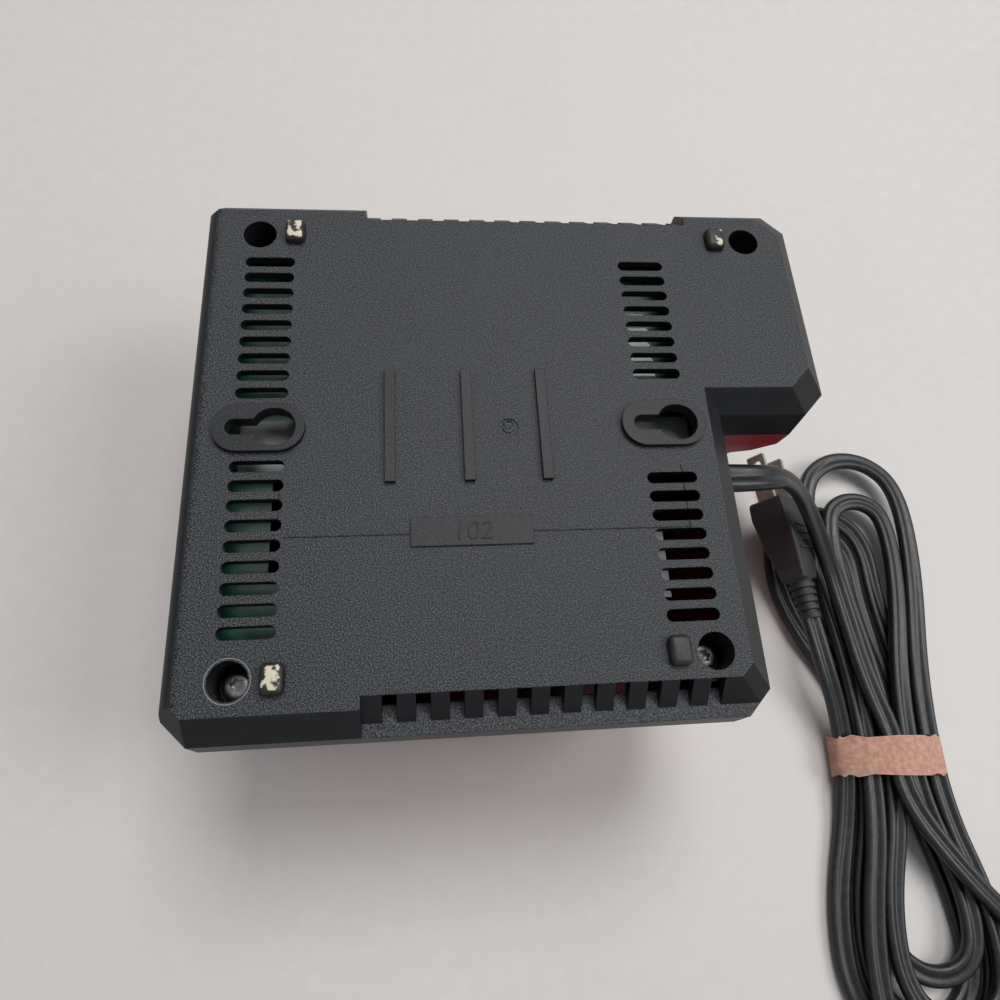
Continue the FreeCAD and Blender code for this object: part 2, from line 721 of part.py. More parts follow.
def make_stem_socket():
    """The well that a stem pack stands in, its spring contacts and their small board."""
    body = new_body("stem_socket")
    x, y = f"({STEM_LEFT} + stem_wide / 2)", "(stem_near + stem_deep / 2)"
    outer = new_sketch(body, "socket_outer", "stem_mouth")
    rectangle(outer, x, y, "stem_wide", "stem_deep")
    pad(body, outer, "stem_floor + stem_wall - stem_mouth")
    soften(body, "Fillet", "stem_corner", upright)
    well = new_sketch(body, "socket_well", "stem_mouth")
    rectangle(well, x, y, "(stem_wide - stem_wall * 2)", "(stem_deep - stem_wall * 2)")
    pocket(body, well, "stem_floor - stem_mouth", down=False)
    flange = new_sketch(body, "socket_flange", "stem_floor - 2")
    for sign in "-+":
        rectangle(flange, x, f"({y} {sign} (stem_deep / 2 + 1))", "12", "2.4")
    pad(body, flange, "stem_wall")
    slits = new_sketch(body, "socket_slits", "stem_floor")
    for sign in "-+":
        for step in (-1, 1):
            rectangle(slits, f"({x} + {step} * 6)", f"({y} {sign} (stem_deep / 2 - stem_wall - 0.4))", "4", "0.8")
    pocket(body, slits, "stem_wall", down=False)
    keep(body, "stem_socket")
    springs = [box(f"spring_{sign}_{step}", f"{x} + {step} * 6 - 2",
                   f"{y} {word} (stem_deep / 2 - stem_wall - 0.4) - 0.4", "stem_floor - 18", "4", "0.8",
                   "18 + stem_wall")
               for sign, word in (("low", "-"), ("high", "+")) for step in (-1, 1)]
    keep(group("stem_contacts", *springs), "stem_contacts")
    keep(group("stem_contact_board", box("stem_board", f"{x} - stem_wide / 2 + 1", f"{y} - stem_deep / 2 + 1",
                                         "stem_floor + stem_wall", "stem_wide - 2", "stem_deep - 2",
                                         "board_thick")), "stem_contact_board")


TERMINAL_X = f"({MAIN} + dock_middle + dock_long / 2 - terminal_long / 2 - 14)"
LENS_X = f"({MAIN} - {HALF_LONG} + top_slope + 6)"
LENS_Y = ("-lens_side", "lens_side")
make_upper_housing()
make_slide_dock()
make_terminals()
make_stem_socket()


def make_boards():
    """The main circuit board on its standoffs, its insulating sheet and its screws."""
    body = new_body("main_circuit_board")
    outline = new_sketch(body, "board_outline", "board_level")
    left, right = f"{LEFT_END} + board_inset", f"{RIGHT_END} - board_right_inset"
    notch = f"{RIGHT_END} - board_notch"
    polygon(outline, [
        (left, "-board_side"),
        (notch, "-board_side"),
        (notch, "-board_side + 8"),
        (f"{notch} + board_step", "-board_side + 8"),
        (f"{notch} + board_step", "-9.5"),
        (right, "-9.5"),
        (right, "board_side"),
        (left, "board_side"),
    ])
    pad(body, outline, "board_thick")
    holes = new_sketch(body, "board_holes", "board_level")
    for x, y in STANDOFF_SPOTS:
        circle(holes, x, y, "board_screw + 0.2")
    obround(holes, f"{MAIN} - 47.5", "-22.5", "29", "3.4", upright=True)
    pocket(body, holes, "board_thick", down=False)
    keep(body, "main_circuit_board")

    sheet_box = box("sheet", f"{MAIN} - 58", "-8.6", BOARD_TOP, "119", "15", "sheet_thick")
    keep(group("insulation_sheet", sheet_box), "insulation_sheet")

    screws = []
    for number, (x, y) in enumerate(STANDOFF_SPOTS):
        head = cylinder(f"board_head_{number}", x, y, "board_level - 2", "5.4", "2")
        shank = cylinder(f"board_shank_{number}", x, y, "board_level - 1", "board_screw", "8")
        screws.append(fuse(f"board_screw_{number}", head, shank))
    keep(group("board_screws", *screws), "board_screws")


def make_fasteners():
    """The four housing screws in their wells, and the four feet in their seats."""
    screws = []
    for number, (x, y) in enumerate(SCREW_SPOTS):
        floor = "plate_level - well_deep"
        head = cylinder(f"case_head_{number}", x, y, floor, "screw_head", "screw_head_high")
        shank = cylinder(f"case_shank_{number}", x, y, f"{floor} - screw_long", "screw_shank", "screw_long + 1")
        recess = cylinder(f"case_recess_{number}", x, y, f"{floor} + screw_head_high - 1.8", "3.4", "3")
        screws.append(cut(f"case_screw_{number}", fuse(f"case_whole_{number}", head, shank), recess))
    keep(group("housing_screws", *screws), "housing_screws")

    body = new_body("foot")
    base = new_sketch(body, "foot_at", "0")
    obround(base, "0", "0", "foot_long", "foot_wide", upright=True)
    pad(body, base, "foot_seat + foot_high")
    high = value("foot_seat + foot_high")
    soften(body, "Fillet", "foot_round", lambda edge: all(abs(v.Z - high) < 0.01 for v in edge.Vertexes))
    feet = []
    for x, y in FOOT_SPOTS:
        foot = doc.addObject("App::Link", "foot_copy")
        foot.LinkedObject = body
        bind(foot, x=x, y=y, z="plate_level - foot_seat")
        feet.append(foot)
    keep(group("rubber_feet", *feet), "rubber_feet")


def make_components():
    """What hangs under the main board: the power stage, its cooling and its small parts."""
    under = "board_level"

    def standing(name, x, y, wide, deep, high):
        return box(name, f"{MAIN} + {x} - {wide} / 2", f"{y} - {deep} / 2", f"{under} - {high}", wide, deep, high)

    def can(name, x, y, diameter, high):
        return cylinder(name, f"{MAIN} + {x}", y, f"{under} - {high}", diameter, high)

    core = standing("core_whole", "8", "14", "42", "15", "34")
    windows = [standing(f"core_window_{side}", f"(8 {side} 12)", "14", "9", "17", "27") for side in "-+"]
    for window in windows:
        bind(window, z=f"{under} - 30.5")
    keep(cut("transformer_core", core, group("core_windows", *windows)), "transformer_core")
    coil = standing("coil_whole", "8", "14", "32.4", "32", "26")
    bind(coil, z=f"{under} - 30")
    leg = standing("coil_leg", "8", "14", "15", "15", "40")
    outside = [standing(f"coil_side_{side}", f"(8 {side} 18.5)", "14", "4.4", "15", "40") for side in "-+"]
    keep(cut("transformer_winding", coil, group("coil_cuts", leg, *outside)), "transformer_winding")
    keep(group("bulk_capacitors", can("bulk_0", "-30", "24", "20", "36"), can("bulk_1", "-30", "-2", "20", "36")),
         "bulk_capacitors")
    choke = doc.addObject("Part::Torus", "choke")
    bind(choke, Radius1="8.5", Radius2="4.2", x=f"{MAIN} - 30", y="-30", z=f"{under} - 4.2")
    keep(group("line_choke", choke), "line_choke")
    keep(group("film_capacitor", standing("film", "-6", "-42", "18", "8", "14")), "film_capacitor")
    keep(group("line_fuse", cylinder("fuse", f"{MAIN} + 12", "-40", f"{under} - 2.6", "5.2", "20", "x")),
         "line_fuse")
    keep(group("bridge_rectifier", standing("bridge", "-4", "-24", "22", "4.6", "16")), "bridge_rectifier")
    sink = fuse("sink_whole",
                box("sink_plate", f"{MAIN} + 47.6", "-43.5", "26", "2.4", "20", "44.4"),
                box("sink_foot", f"{MAIN} + 36", "-43.5", f"{under} - 2", "12", "20", "2"))
    keep(sink, "heat_sink")
    keep(group("power_transistors", *[
        box(f"power_{number}", f"{MAIN} + 43", y, "46", "4.6", "8", "15")
        for number, y in enumerate(("-42.5", "-32.5"))]), "power_transistors")
    keep(group("output_capacitors", *[can(f"output_{number}", x, y, "10", "20") for number, (x, y) in enumerate(
        (("42", "24"), ("54", "24"), ("42", "36")))]), "output_capacitors")
    keep(group("control_board", standing("control", "8", "40", "34", "1.6", "22")), "control_board")
    keep(group("output_relay", standing("relay", "38", "4", "14", "16", "15")), "output_relay")
    keep(group("indicator_leds", *[
        cylinder(f"led_{number}", LENS_X, y, f"{under} - 4", "3", "4") for number, y in enumerate(LENS_Y)]),
        "indicator_leds")
    keep(group("indicator_light_pipes", *[
        fuse(f"pipe_{number}",
             cylinder(f"pipe_lens_{number}", LENS_X, y, "top_level", "lens_diameter - 0.1", "top_wall"),
             cylinder(f"pipe_rim_{number}", LENS_X, y, "top_level + top_wall", "lens_diameter + 2", "1.5"),
             cylinder(f"pipe_stem_{number}", LENS_X, y, "top_level + top_wall", "3.4",
                      f"{under} - 4 - top_level - top_wall"))
        for number, y in enumerate(LENS_Y)]), "indicator_light_pipes")


def bend_route(points, share=0.45):
    """Straight runs joined by tangent arcs, and the radii of those arcs."""
    edges, radii, start = [], [], points[0]
    for before, corner, after in zip(points, points[1:], points[2:]):
        back, on = before - corner, after - corner
        reach = share * min(back.Length, on.Length)
        back.normalize()
        on.normalize()
        half_turn = (math.pi - back.getAngle(on)) / 2
        radius = reach / math.tan(half_turn)
        radii.append(radius)
        middle = (back + on).normalize()
        enter, leave = corner + back * reach, corner + on * reach
        top = corner + middle * (radius / math.cos(half_turn) - radius)
        edges.append(Part.LineSegment(start, enter).toShape())
        edges.append(Part.Arc(enter, top, leave).toShape())
        start = leave
    edges.append(Part.LineSegment(start, points[-1]).toShape())
    return Part.Wire(edges), radii


def tube(route, diameter, along):
    """A round tube along a wire whose first edge leaves in the direction along."""
    ring = Part.Wire(Part.makeCircle(diameter / 2, route.OrderedVertexes[0].Point, along))
    solid = route.makePipeShell([ring], True, False)
    return solid


def lead(points, diameter):
    spots = [Vector(*(value(text) for text in point)) for point in points]
    route, _ = bend_route(spots)
    return tube(route, diameter, spots[1] - spots[0])


def make_leads():
    """The wires from the cord, to the slide terminals and to the stem socket's board."""
    tail = "top_level + top_wall + 9.5"
    own_shape("dock_leads", Part.makeCompound([
        lead([(f"{TERMINAL_X} + 3", y, tail), (f"{TERMINAL_X} + 3", y, f"{tail} + 4"),
              (f"{MAIN} + 35", y, f"{tail} + 14"), (f"{MAIN} + 35", y, "board_level")], 1.6)
        for y in ("-2 * blade_pitch", "2 * blade_pitch")]))
    own_shape("stem_leads", Part.makeCompound([
        lead([(f"{STEM_LEFT} + 3", y, SOCKET_TOP),
              (f"{STEM_LEFT} + 3", y, f"{SOCKET_TOP} + 3"),
              (f"{MAIN} + 61", y, "board_level - 5"),
              (f"{MAIN} + 61", y, "board_level")], 1.6) for y in ("26", "32")]))
    inner = f"{MAIN} + {HALF_LONG} - wall - 4"
    own_shape("mains_leads", Part.makeCompound([
        lead([(inner, f"cord_side + {shift}", "cord_level"),
              (f"{inner} - 6", f"cord_side + {shift}", "cord_level"),
              (f"{inner} - 9", f"{far}", "board_level - 5"),
              (f"{inner} - 9", f"{far}", "board_level")], 2.0) for shift, far in (("-1.3", "-6"), ("1.3", "0"))]))


make_boards()
make_fasteners()
make_components()
make_leads()


def frame_point(u, v, z):
    """A place in the hank's own frame: u along it, v across it, z above the surface."""
    return HANK_WAIST + HANK_ALONG * u + HANK_ACROSS * v + Vector(0, 0, z)


def frame_way(u, v):
    return (HANK_ALONG * u + HANK_ACROSS * v).normalize()


def arc_between(start, way, end):
    """The edge that leaves start in the direction way and ends at end: an arc, or a line."""
    chord = end - start
    straight = Vector(chord).normalize()
    across = way - straight * way.dot(straight)
    if across.Length < 1e-4:
        return Part.LineSegment(start, end).toShape()
    half_turn = way.getAngle(chord) / 2
    middle = start + chord / 2 + across.normalize() * (chord.Length / 2 * math.tan(half_turn))
    return Part.Arc(start, middle, end).toShape()


def biarc(start, way, end, end_way):
    """Two tangent arcs from start to end that keep both directions."""
    chord, both = end - start, way + end_way
    square = 2 * (1 - way.dot(end_way))
    if square < 1e-6:
        reach = chord.dot(chord) / (4 * chord.dot(end_way))
    else:
        slope = chord.dot(both)
        reach = (math.sqrt(slope * slope + square * chord.dot(chord)) - slope) / square
    joint = (start + end + (way - end_way) * reach) / 2
    first = arc_between(start, way, joint)
    turned = (joint - start - way * reach).normalize()
    return [first, arc_between(joint, turned, end)]


def least_gap(wire, diameter):
    """The least space between the tube's own turns, measured on points along its wire."""
    points = wire.discretize(Distance=3.0)
    skip = math.ceil(4 * diameter / 3.0)
    return min(a.distanceToPoint(b) for i, a in enumerate(points) for b in points[i + skip:]) - diameter


def hank_stops():
    """The hank's stops: u, v, z and the way on, as (along, across)."""
    low, high, top = LAYER_LEVELS
    rise = 0.9
    column = [HANK_COLUMN * (0.5 + turn) for turn in range(3)]
    near = [12.5, 20.0, 27.5]
    up, down, right, left = (1, 0), (-1, 0), (0, 1), (0, -1)

    def far_lobe(level, turn, middle, half, side):
        return [
            (0, -column[turn], level + rise, up),
            (side, middle - half, level, up),
            (side + half, middle, level, right),
            (side, middle + half, level, down),
            (0, column[turn], level + rise, down),
        ]

    def near_lobe(side, level, right_turn, left_turn, end_level=None):
        wide, narrow = near[right_turn], near[left_turn]
        end_level = level if end_level is None else end_level
        return [
            (-side, wide, level, down),
            (-side - (wide + narrow) / 2, (wide - narrow) / 2, (level + end_level) / 2, left),
            (-side, -narrow, end_level, up),
        ]

    stops = [(-13, -column[0], top, down), (-48, 24, top - 0.2, down)]
    stops += near_lobe(68, high, 2, 1)
    stops += far_lobe(high, 1, 1, 18.5, 87)
    stops += near_lobe(58, high, 1, 0)
    stops += far_lobe(high, 0, 1, 11, 78)
    stops += near_lobe(50, high, 0, 0, low)
    stops += far_lobe(low, 0, -17, 12.5, 66)
    stops += near_lobe(58, low, 0, 1)
    stops += far_lobe(low, 1, -17, 20.5, 66)
    stops += near_lobe(58, low, 1, 2)
    stops += [(-17, -column[2], high + rise, up)]
    return stops


def make_cord():
    """The mains cord: a free run from the housing, a tied hank, and a short lead to the plug."""
    size = value("cord_diameter")
    high = value("grommet_high")
    wall_x = value(f"{MAIN} + {HALF_LONG}")
    level, side = value("cord_level"), value("cord_side")
    reach = value("grommet_reach")

    # The bushing fills its notch in the wall and is wider on both sides of it.
    wide = value("grommet_wide")
    seam = value(SEAM)
    inner_x, outer_x = wall_x - value("wall") - 4, wall_x + reach
    bush = Part.makeBox(outer_x - inner_x, wide, seam - level + high / 2,
                        Vector(inner_x, side - wide / 2, level - high / 2))
    inner_rim = Part.makeBox(1.8, wide + 4, high - 0.4, Vector(inner_x, side - wide / 2 - 2, level - high / 2))
    bore = Part.makeCylinder(size / 2, outer_x - inner_x + 2, Vector(inner_x - 1, side, level), Vector(1, 0, 0))
    own_shape("cord_grommet", bush.fuse(inner_rim).cut(bore))

    runs = [Vector(outer_x, side, level)] + FREE_RUN
    before = frame_point(5, -HANK_COLUMN / 2, LAYER_LEVELS[2])
    start = frame_point(-8, -HANK_COLUMN / 2, LAYER_LEVELS[2])
    route, radii = bend_route(runs + [before, start])
    free = own_shape("mains_cord", tube(route, size, runs[1] - runs[0]))
    report("mains_cord", route, free.Shape, size, radii)
    inside = Part.makeCylinder(size / 2, outer_x - inner_x, Vector(inner_x, side, level), Vector(1, 0, 0))
    own_shape("cord_tail", inside)

    stops = hank_stops()
    spots = [frame_point(u, v, z) for u, v, z, _ in stops]
    ways = [frame_way(*way) for *_, way in stops]
    end = frame_point(-12, -HANK_COLUMN * 2.5, stops[-1][2])
    edges = [Part.LineSegment(start, spots[0]).toShape()]
    for index in range(len(spots) - 1):
        edges += biarc(spots[index], ways[index], spots[index + 1], ways[index + 1])
    edges.append(Part.LineSegment(spots[-1], end).toShape())
    hank_route = Part.Wire(edges)
    hank = own_shape("cord_hank", tube(hank_route, size, spots[0] - start))
    report("cord_hank", hank_route, hank.Shape, size, [])
    print(f"hank: least gap to itself {least_gap(hank_route, size):.2f}")

    sleeve_end = PLUG_REAR - PLUG_WAY * SLEEVE_LONG
    lead_route, lead_radii = bend_route([
        end,
        frame_point(10, -HANK_COLUMN * 2.5, stops[-1][2]),
        sleeve_end - PLUG_WAY * SLEEVE_LONG,
        sleeve_end,
    ])
    plug_lead = own_shape("plug_lead", tube(lead_route, size, frame_way(1, 0)))
    report("plug_lead", lead_route, plug_lead.Shape, size, lead_radii)
    print(f"cord length in all {(route.Length + hank_route.Length + lead_route.Length):.0f}")

    # The tie goes round every strand at the waist.
    left, right, bottom, top = -HANK_COLUMN * 3, HANK_COLUMN * 2, 0.6, LAYER_LEVELS[2] + size / 2 + 0.3
    outline = [(left, bottom), (right, bottom), (right, top), (left, top)]
    faces = []
    for extra in (0.4, 0.0):
        shifted = [(v + math.copysign(extra, v), z + (extra if z > 5 else -extra)) for v, z in outline]
        ring = Part.makePolygon([frame_point(-6, v, z) for v, z in shifted + shifted[:1]])
        faces.append(Part.Face(ring).extrude(HANK_ALONG * 12))
    own_shape("cord_tie", faces[0].cut(faces[1]))


def report(name, route, shape, size, radii):
    share = shape.Volume / (math.pi * size * size / 4 * route.Length)
    least = f", least radius {min(radii):.1f} of {[round(radius, 1) for radius in radii]}" if radii else ""
    print(f"{name}: length {route.Length:.1f}, volume over section times length {share:.4f}{least}")


def plug_section(along, half_wide, half_high):
    """A rounded rectangle across the plug at a distance from its face."""
    corner = min(half_wide, half_high) * 0.45
    points = []
    for sign_x, sign_z in ((1, 1), (-1, 1), (-1, -1), (1, -1)):
        points.append((sign_x * half_wide, sign_z * half_high, sign_x, sign_z))
    edges, last, first = [], None, None
    for x, z, sign_x, sign_z in points:
        ends = [Vector(x, along, z - sign_z * corner), Vector(x - sign_x * corner, along, z)]
        if sign_x * sign_z < 0:
            ends.reverse()
        middle = Vector(x - sign_x * corner * (1 - math.sqrt(0.5)), along, z - sign_z * corner * (1 - math.sqrt(0.5)))
        if last is None:
            first = ends[0]
        else:
            edges.append(Part.LineSegment(last, ends[0]).toShape())
        edges.append(Part.Arc(ends[0], middle, ends[1]).toShape())
        last = ends[1]
    edges.append(Part.LineSegment(last, first).toShape())
    return Part.Wire(edges)


def make_plug():
    """The two-blade plug, its blades, and the ribbed sleeve behind it."""
    turn = Rotation(Vector(0, 1, 0), PLUG_WAY)
    place = Placement(PLUG_REAR, turn.multiply(Rotation(Vector(0, 1, 0), PLUG_ROLL)))
    front = PLUG_LONG
    body = Part.makeLoft([
        plug_section(0, 5.0, 4.6),
        plug_section(front * 0.45, 7.4, 6.0),
        plug_section(front * 0.8, 9.6, 6.6),
        plug_section(front, 9.2, 6.2),
    ], True, False)
    size = value("cord_diameter")
    sleeve = Part.makeCone(3.1, 4.4, SLEEVE_LONG, Vector(0, -SLEEVE_LONG, 0), Vector(0, 1, 0))
    for step in range(4):
        y = -SLEEVE_LONG + 2.0 + step * 2.6
        ring = Part.makeCylinder(6, 1.1, Vector(0, y, 0), Vector(0, 1, 0))
        core = Part.makeCylinder(2.75, 1.1, Vector(0, y, 0), Vector(0, 1, 0))
        sleeve = sleeve.cut(ring.cut(core))
    bases = []
    for side in (-1, 1):
        blade = Part.makeBox(1.5, BLADE_LONG, 6.3, Vector(side * 6.35 - 0.75, front, -3.15))
        hole = Part.makeCylinder(1.6, 4, Vector(side * 6.35 - 2, front + BLADE_LONG - 4, 0), Vector(1, 0, 0))
        bases.append(blade.cut(hole))
    for name, shape in (("mains_plug", body), ("plug_sleeve", sleeve), ("plug_blades", Part.makeCompound(bases))):
        item = own_shape(name, shape)
        item.Placement = place


# The cord lies beside the housing, tied round its middle. Its points are places in the part's frame.
HANK_WAIST = Vector(126.6, -85.5, 0)
HANK_ALONG = Vector(0.047, 0.9989, 0).normalize()
HANK_ACROSS = Vector(0.9989, -0.047, 0).normalize()
HANK_COLUMN = 7.4
LAYER_LEVELS = (2.7, 8.7, 15.7)
FREE_RUN = [
    Vector(70, -7, 58.5),
    Vector(84, -3.5, 50),
    Vector(99.5, -6.2, 31),
    Vector(112.1, -21.2, 18.2),
    Vector(116.4, -40, 15.8),
    Vector(118.3, -61.6, 16.2),
]
PLUG_WAY = Vector(-0.083, 0.9966, 0).normalize()
PLUG_ROLL = 35.0
PLUG_LONG = 29.0
PLUG_REAR = Vector(100.0, -28.0, 15.4)
SLEEVE_LONG = 13.0
BLADE_LONG = 17.0
make_cord()
make_plug()

doc.recompute()
for item in doc.Objects:
    if "Invalid" in item.State or "Error" in item.State:
        raise RuntimeError(f"{item.Name} did not build: {item.State}")
os.makedirs("parts", exist_ok=True)
for item in PARTS:
    shape = item.Shape
    if shape.isNull() or not shape.isValid() or not shape.Solids:
        raise RuntimeError(f"{item.Label} has no valid shape")
    shape.exportStep(f"parts/{item.Label}.step")
    print(f"{item.Label}: {len(shape.Solids)} solid(s), {shape.Volume:.0f} mm3")
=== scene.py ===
# %% [markdown]
# # A dual battery charger, lying on its top
#
# The object is a mains charger for cordless tools, photographed with its underside up.
# The engineering model gives every rigid piece in its true place, in metres.
# This lesson dresses it: it adds the small things a modeller makes by hand, the cord, and the finishes.

# %% Load the fixed frame
import json
import math

import bmesh
import bpy
from mathutils import Matrix, Vector


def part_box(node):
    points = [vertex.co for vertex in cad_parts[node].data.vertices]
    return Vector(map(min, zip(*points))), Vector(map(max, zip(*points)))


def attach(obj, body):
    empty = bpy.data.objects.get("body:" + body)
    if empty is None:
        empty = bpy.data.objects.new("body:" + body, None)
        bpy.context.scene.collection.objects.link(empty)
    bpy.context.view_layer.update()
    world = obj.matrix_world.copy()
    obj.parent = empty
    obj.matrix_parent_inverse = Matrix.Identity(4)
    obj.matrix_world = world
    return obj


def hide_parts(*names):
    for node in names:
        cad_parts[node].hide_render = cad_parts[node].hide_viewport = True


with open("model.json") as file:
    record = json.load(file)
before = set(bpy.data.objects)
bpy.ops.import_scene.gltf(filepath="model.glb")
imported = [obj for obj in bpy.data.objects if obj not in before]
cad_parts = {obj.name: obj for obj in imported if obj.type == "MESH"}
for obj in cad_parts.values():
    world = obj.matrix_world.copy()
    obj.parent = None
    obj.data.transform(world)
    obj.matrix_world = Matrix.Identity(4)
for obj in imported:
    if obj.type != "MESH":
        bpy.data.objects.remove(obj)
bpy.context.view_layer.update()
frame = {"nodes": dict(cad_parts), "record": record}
mm = 0.001
plate = 0.080
print("nodes in the frame:", len(frame["nodes"]))

# %% [markdown]
# ## Small helpers
#
# Blender's operators act on whatever is selected, so every step starts by selecting nothing.
# A finished piece keeps its place in its mesh, and its object stays at the origin.

# %% Selecting, naming and settling
def clear():
    if bpy.context.mode != "OBJECT":
        bpy.ops.object.mode_set(mode="OBJECT")
    bpy.ops.object.select_all(action="DESELECT")


def pick(*items):
    clear()
    for item in items:
        item.select_set(True)
    bpy.context.view_layer.objects.active = items[0]
    return items[0]


def christen(name):
    piece = bpy.context.object
    piece.name = piece.data.name = name
    return piece


def settle(piece):
    pick(piece)
    bpy.ops.object.transform_apply(location=True, rotation=True, scale=True)
    return piece


def press(piece, kind, **settings):
    """Adds one modifier and applies it."""
    pick(piece)
    modifier = piece.modifiers.new(kind.title(), kind)
    for key, setting in settings.items():
        setattr(modifier, key, setting)
    bpy.ops.object.modifier_apply(modifier=modifier.name)
    return piece


def cut(piece, tool):
    """Cuts the tool out of the piece, and the tool is gone."""
    press(piece, "BOOLEAN", operation="DIFFERENCE", object=tool, solver="EXACT")
    bpy.data.objects.remove(tool)


def weld(*items):
    pick(*items)
    if len(items) > 1:
        bpy.ops.object.join()
    return bpy.context.object


def smooth(piece, angle):
    pick(piece)
    bpy.ops.object.shade_smooth_by_angle(angle=math.radians(angle))
    return piece


def copies(piece, places, name):
    """Copies one piece to each matrix, every copy with its own mesh, and joins them."""
    made = []
    for place in places:
        twin = piece.copy()
        twin.data = piece.data.copy()
        bpy.context.collection.objects.link(twin)
        twin.data.transform(place)
        made.append(twin)
    bpy.data.objects.remove(piece)
    whole = weld(*made)
    whole.name = whole.data.name = name
    return whole


# %% Working on faces
def face_outwards():
    """In edit mode, turns every face outwards, and then goes back to object mode."""
    bpy.ops.mesh.select_all(action="SELECT")
    bpy.ops.mesh.normals_make_consistent(inside=False)
    bpy.ops.object.mode_set(mode="OBJECT")


def select_top(piece):
    """In edit mode, selects the faces that look straight up."""
    straight_up = 0.9
    shell = bmesh.from_edit_mesh(piece.data)
    for face in shell.faces:
        face.select = face.normal.z > straight_up
    bmesh.update_edit_mesh(piece.data)


# %% Boxes, and turned shapes made by extruding a disc
def box(name, place, size):
    clear()
    bpy.ops.mesh.primitive_cube_add(size=1, location=place, scale=size)
    return settle(christen(name))


def turned(name, profile, sides):
    """A disc is extruded up through the profile's (height, radius) steps."""
    clear()
    height, radius = profile[0]
    bpy.ops.mesh.primitive_circle_add(vertices=sides, radius=radius, fill_type="NGON", location=(0, 0, height))
    piece = settle(christen(name))
    bpy.ops.object.mode_set(mode="EDIT")
    bpy.ops.mesh.select_all(action="SELECT")
    for next_height, next_radius in profile[1:]:
        bpy.ops.mesh.extrude_region_move(TRANSFORM_OT_translate={"value": (0, 0, next_height - height)})
        grow = next_radius / radius
        bpy.ops.transform.resize(value=(grow, grow, 1), center_override=(0, 0, next_height))
        height, radius = next_height, next_radius
    face_outwards()
    return piece


# %% Curves, and sections swept along them
def curve_through(name, kind, places, dimensions="3D"):
    """A curve object with one spline through the places."""
    curve = bpy.data.curves.new(name, "CURVE")
    curve.dimensions = dimensions
    curve.twist_mode = "Z_UP"
    spline = curve.splines.new(kind)
    spline.points.add(len(places) - 1)
    for spot, place in zip(spline.points, places):
        spot.co = (*place, 1)
    carrier = bpy.data.objects.new(name, curve)
    bpy.context.collection.objects.link(carrier)
    return carrier


def as_mesh(carrier, name):
    """Turns a curve or a text into one closed mesh whose faces point outwards."""
    pick(carrier)
    bpy.ops.object.convert(target="MESH")
    piece = christen(name)
    bpy.ops.object.mode_set(mode="EDIT")
    bpy.ops.mesh.select_all(action="SELECT")
    bpy.ops.mesh.remove_doubles(threshold=0.00001)
    face_outwards()
    return smooth(piece, 70)


def swept(carrier, section, name):
    """Sweeps the section along a curve, as one closed mesh whose faces point outwards."""
    carrier.data.bevel_mode = "OBJECT"
    carrier.data.bevel_object = section
    carrier.data.use_fill_caps = True
    return as_mesh(carrier, name)


# %% [markdown]
# ## The camera
#
# The photograph looks down at the underside from the near side.
# These numbers were fitted to the vent slots, which are 5 mm apart on the real part.

# %% Camera
bpy.ops.object.camera_add(location=(-0.02635, -0.0798, 0.2406))
camera = christen("photo_camera")
right = Vector((0.9943, -0.0580, 0.0898))
up = Vector((0.0229, 0.9361, 0.3509))
back = Vector((-0.1045, -0.3468, 0.9321))
camera.matrix_world = Matrix.LocRotScale(
    camera.location, Matrix((right, up, back)).transposed().to_quaternion().normalized(), None)
camera.data.lens = 25.41
camera.data.sensor_width = 36
camera.data.clip_start = 0.01
bpy.context.scene.camera = camera
bpy.context.scene.view_settings.view_transform = "Standard"

# %% [markdown]
# ## The cord
#
# It is a flat two-core cord, 6.4 mm wide, folded into a hank with a paper tie round its waist.
# One NURBS line carries it from the housing, through every fold, to the plug.
# The folds differ in size, as they do when a cord is folded by hand.
#
# The hank has axes of its own: u runs along it from the waist, v runs across it, and z is the height.
# Its strands lie in columns beside the waist's middle, on three levels.

# %% The folds
waist = Vector((0.1266, -0.0855, 0.0))
along = Vector((0.047, 0.9989, 0.0)).normalized()
across = Vector((0.9989, -0.047, 0.0)).normalized()
column = [0.0074 * (0.5 + step) for step in range(3)]
low, high, top = 0.0022, 0.0066, 0.0112
near_half = [0.0125, 0.0200, 0.0275]
arch = 0.0006
octant = math.radians(22.5)


def in_hank(u, v, z):
    return waist + along * u + across * v + Vector((0, 0, z))


def fold(centre_u, centre_v, radius, way, level, end_level):
    """Four points round a half circle: way is 1 at the far end and -1 at the near end."""
    reach = radius / math.cos(octant)
    points = []
    for step in (-3, -1, 1, 3):
        angle = step * octant * way
        share = (step + 3) / 6
        points.append(in_hank(centre_u + way * reach * math.cos(angle), centre_v + reach * math.sin(angle),
                              level + (end_level - level) * share))
    return points


def far_fold(level, turn, middle, half, side):
    """Out from one side of the waist, round the far end, and back to its other side."""
    leg = column[turn]
    return [in_hank(0.25 * side, -leg, level + arch), in_hank(0.75 * side, middle - half, level),
            *fold(side, middle, half, 1, level, level),
            in_hank(0.75 * side, middle + half, level), in_hank(0.25 * side, leg, level + arch)]


def near_fold(side, level, wide_turn, narrow_turn, leave, enter_level=None):
    """Round the near end, from a wide place on the right to a narrower one on the left."""
    wide, narrow = near_half[wide_turn], near_half[narrow_turn]
    before = level if enter_level is None else enter_level
    return [in_hank(-0.75 * side, wide, before),
            *fold(-side, (wide - narrow) / 2, (wide + narrow) / 2, -1, before, level),
            in_hank(-0.75 * side, -narrow, level), in_hank(-0.25 * side, -leave, level + arch)]


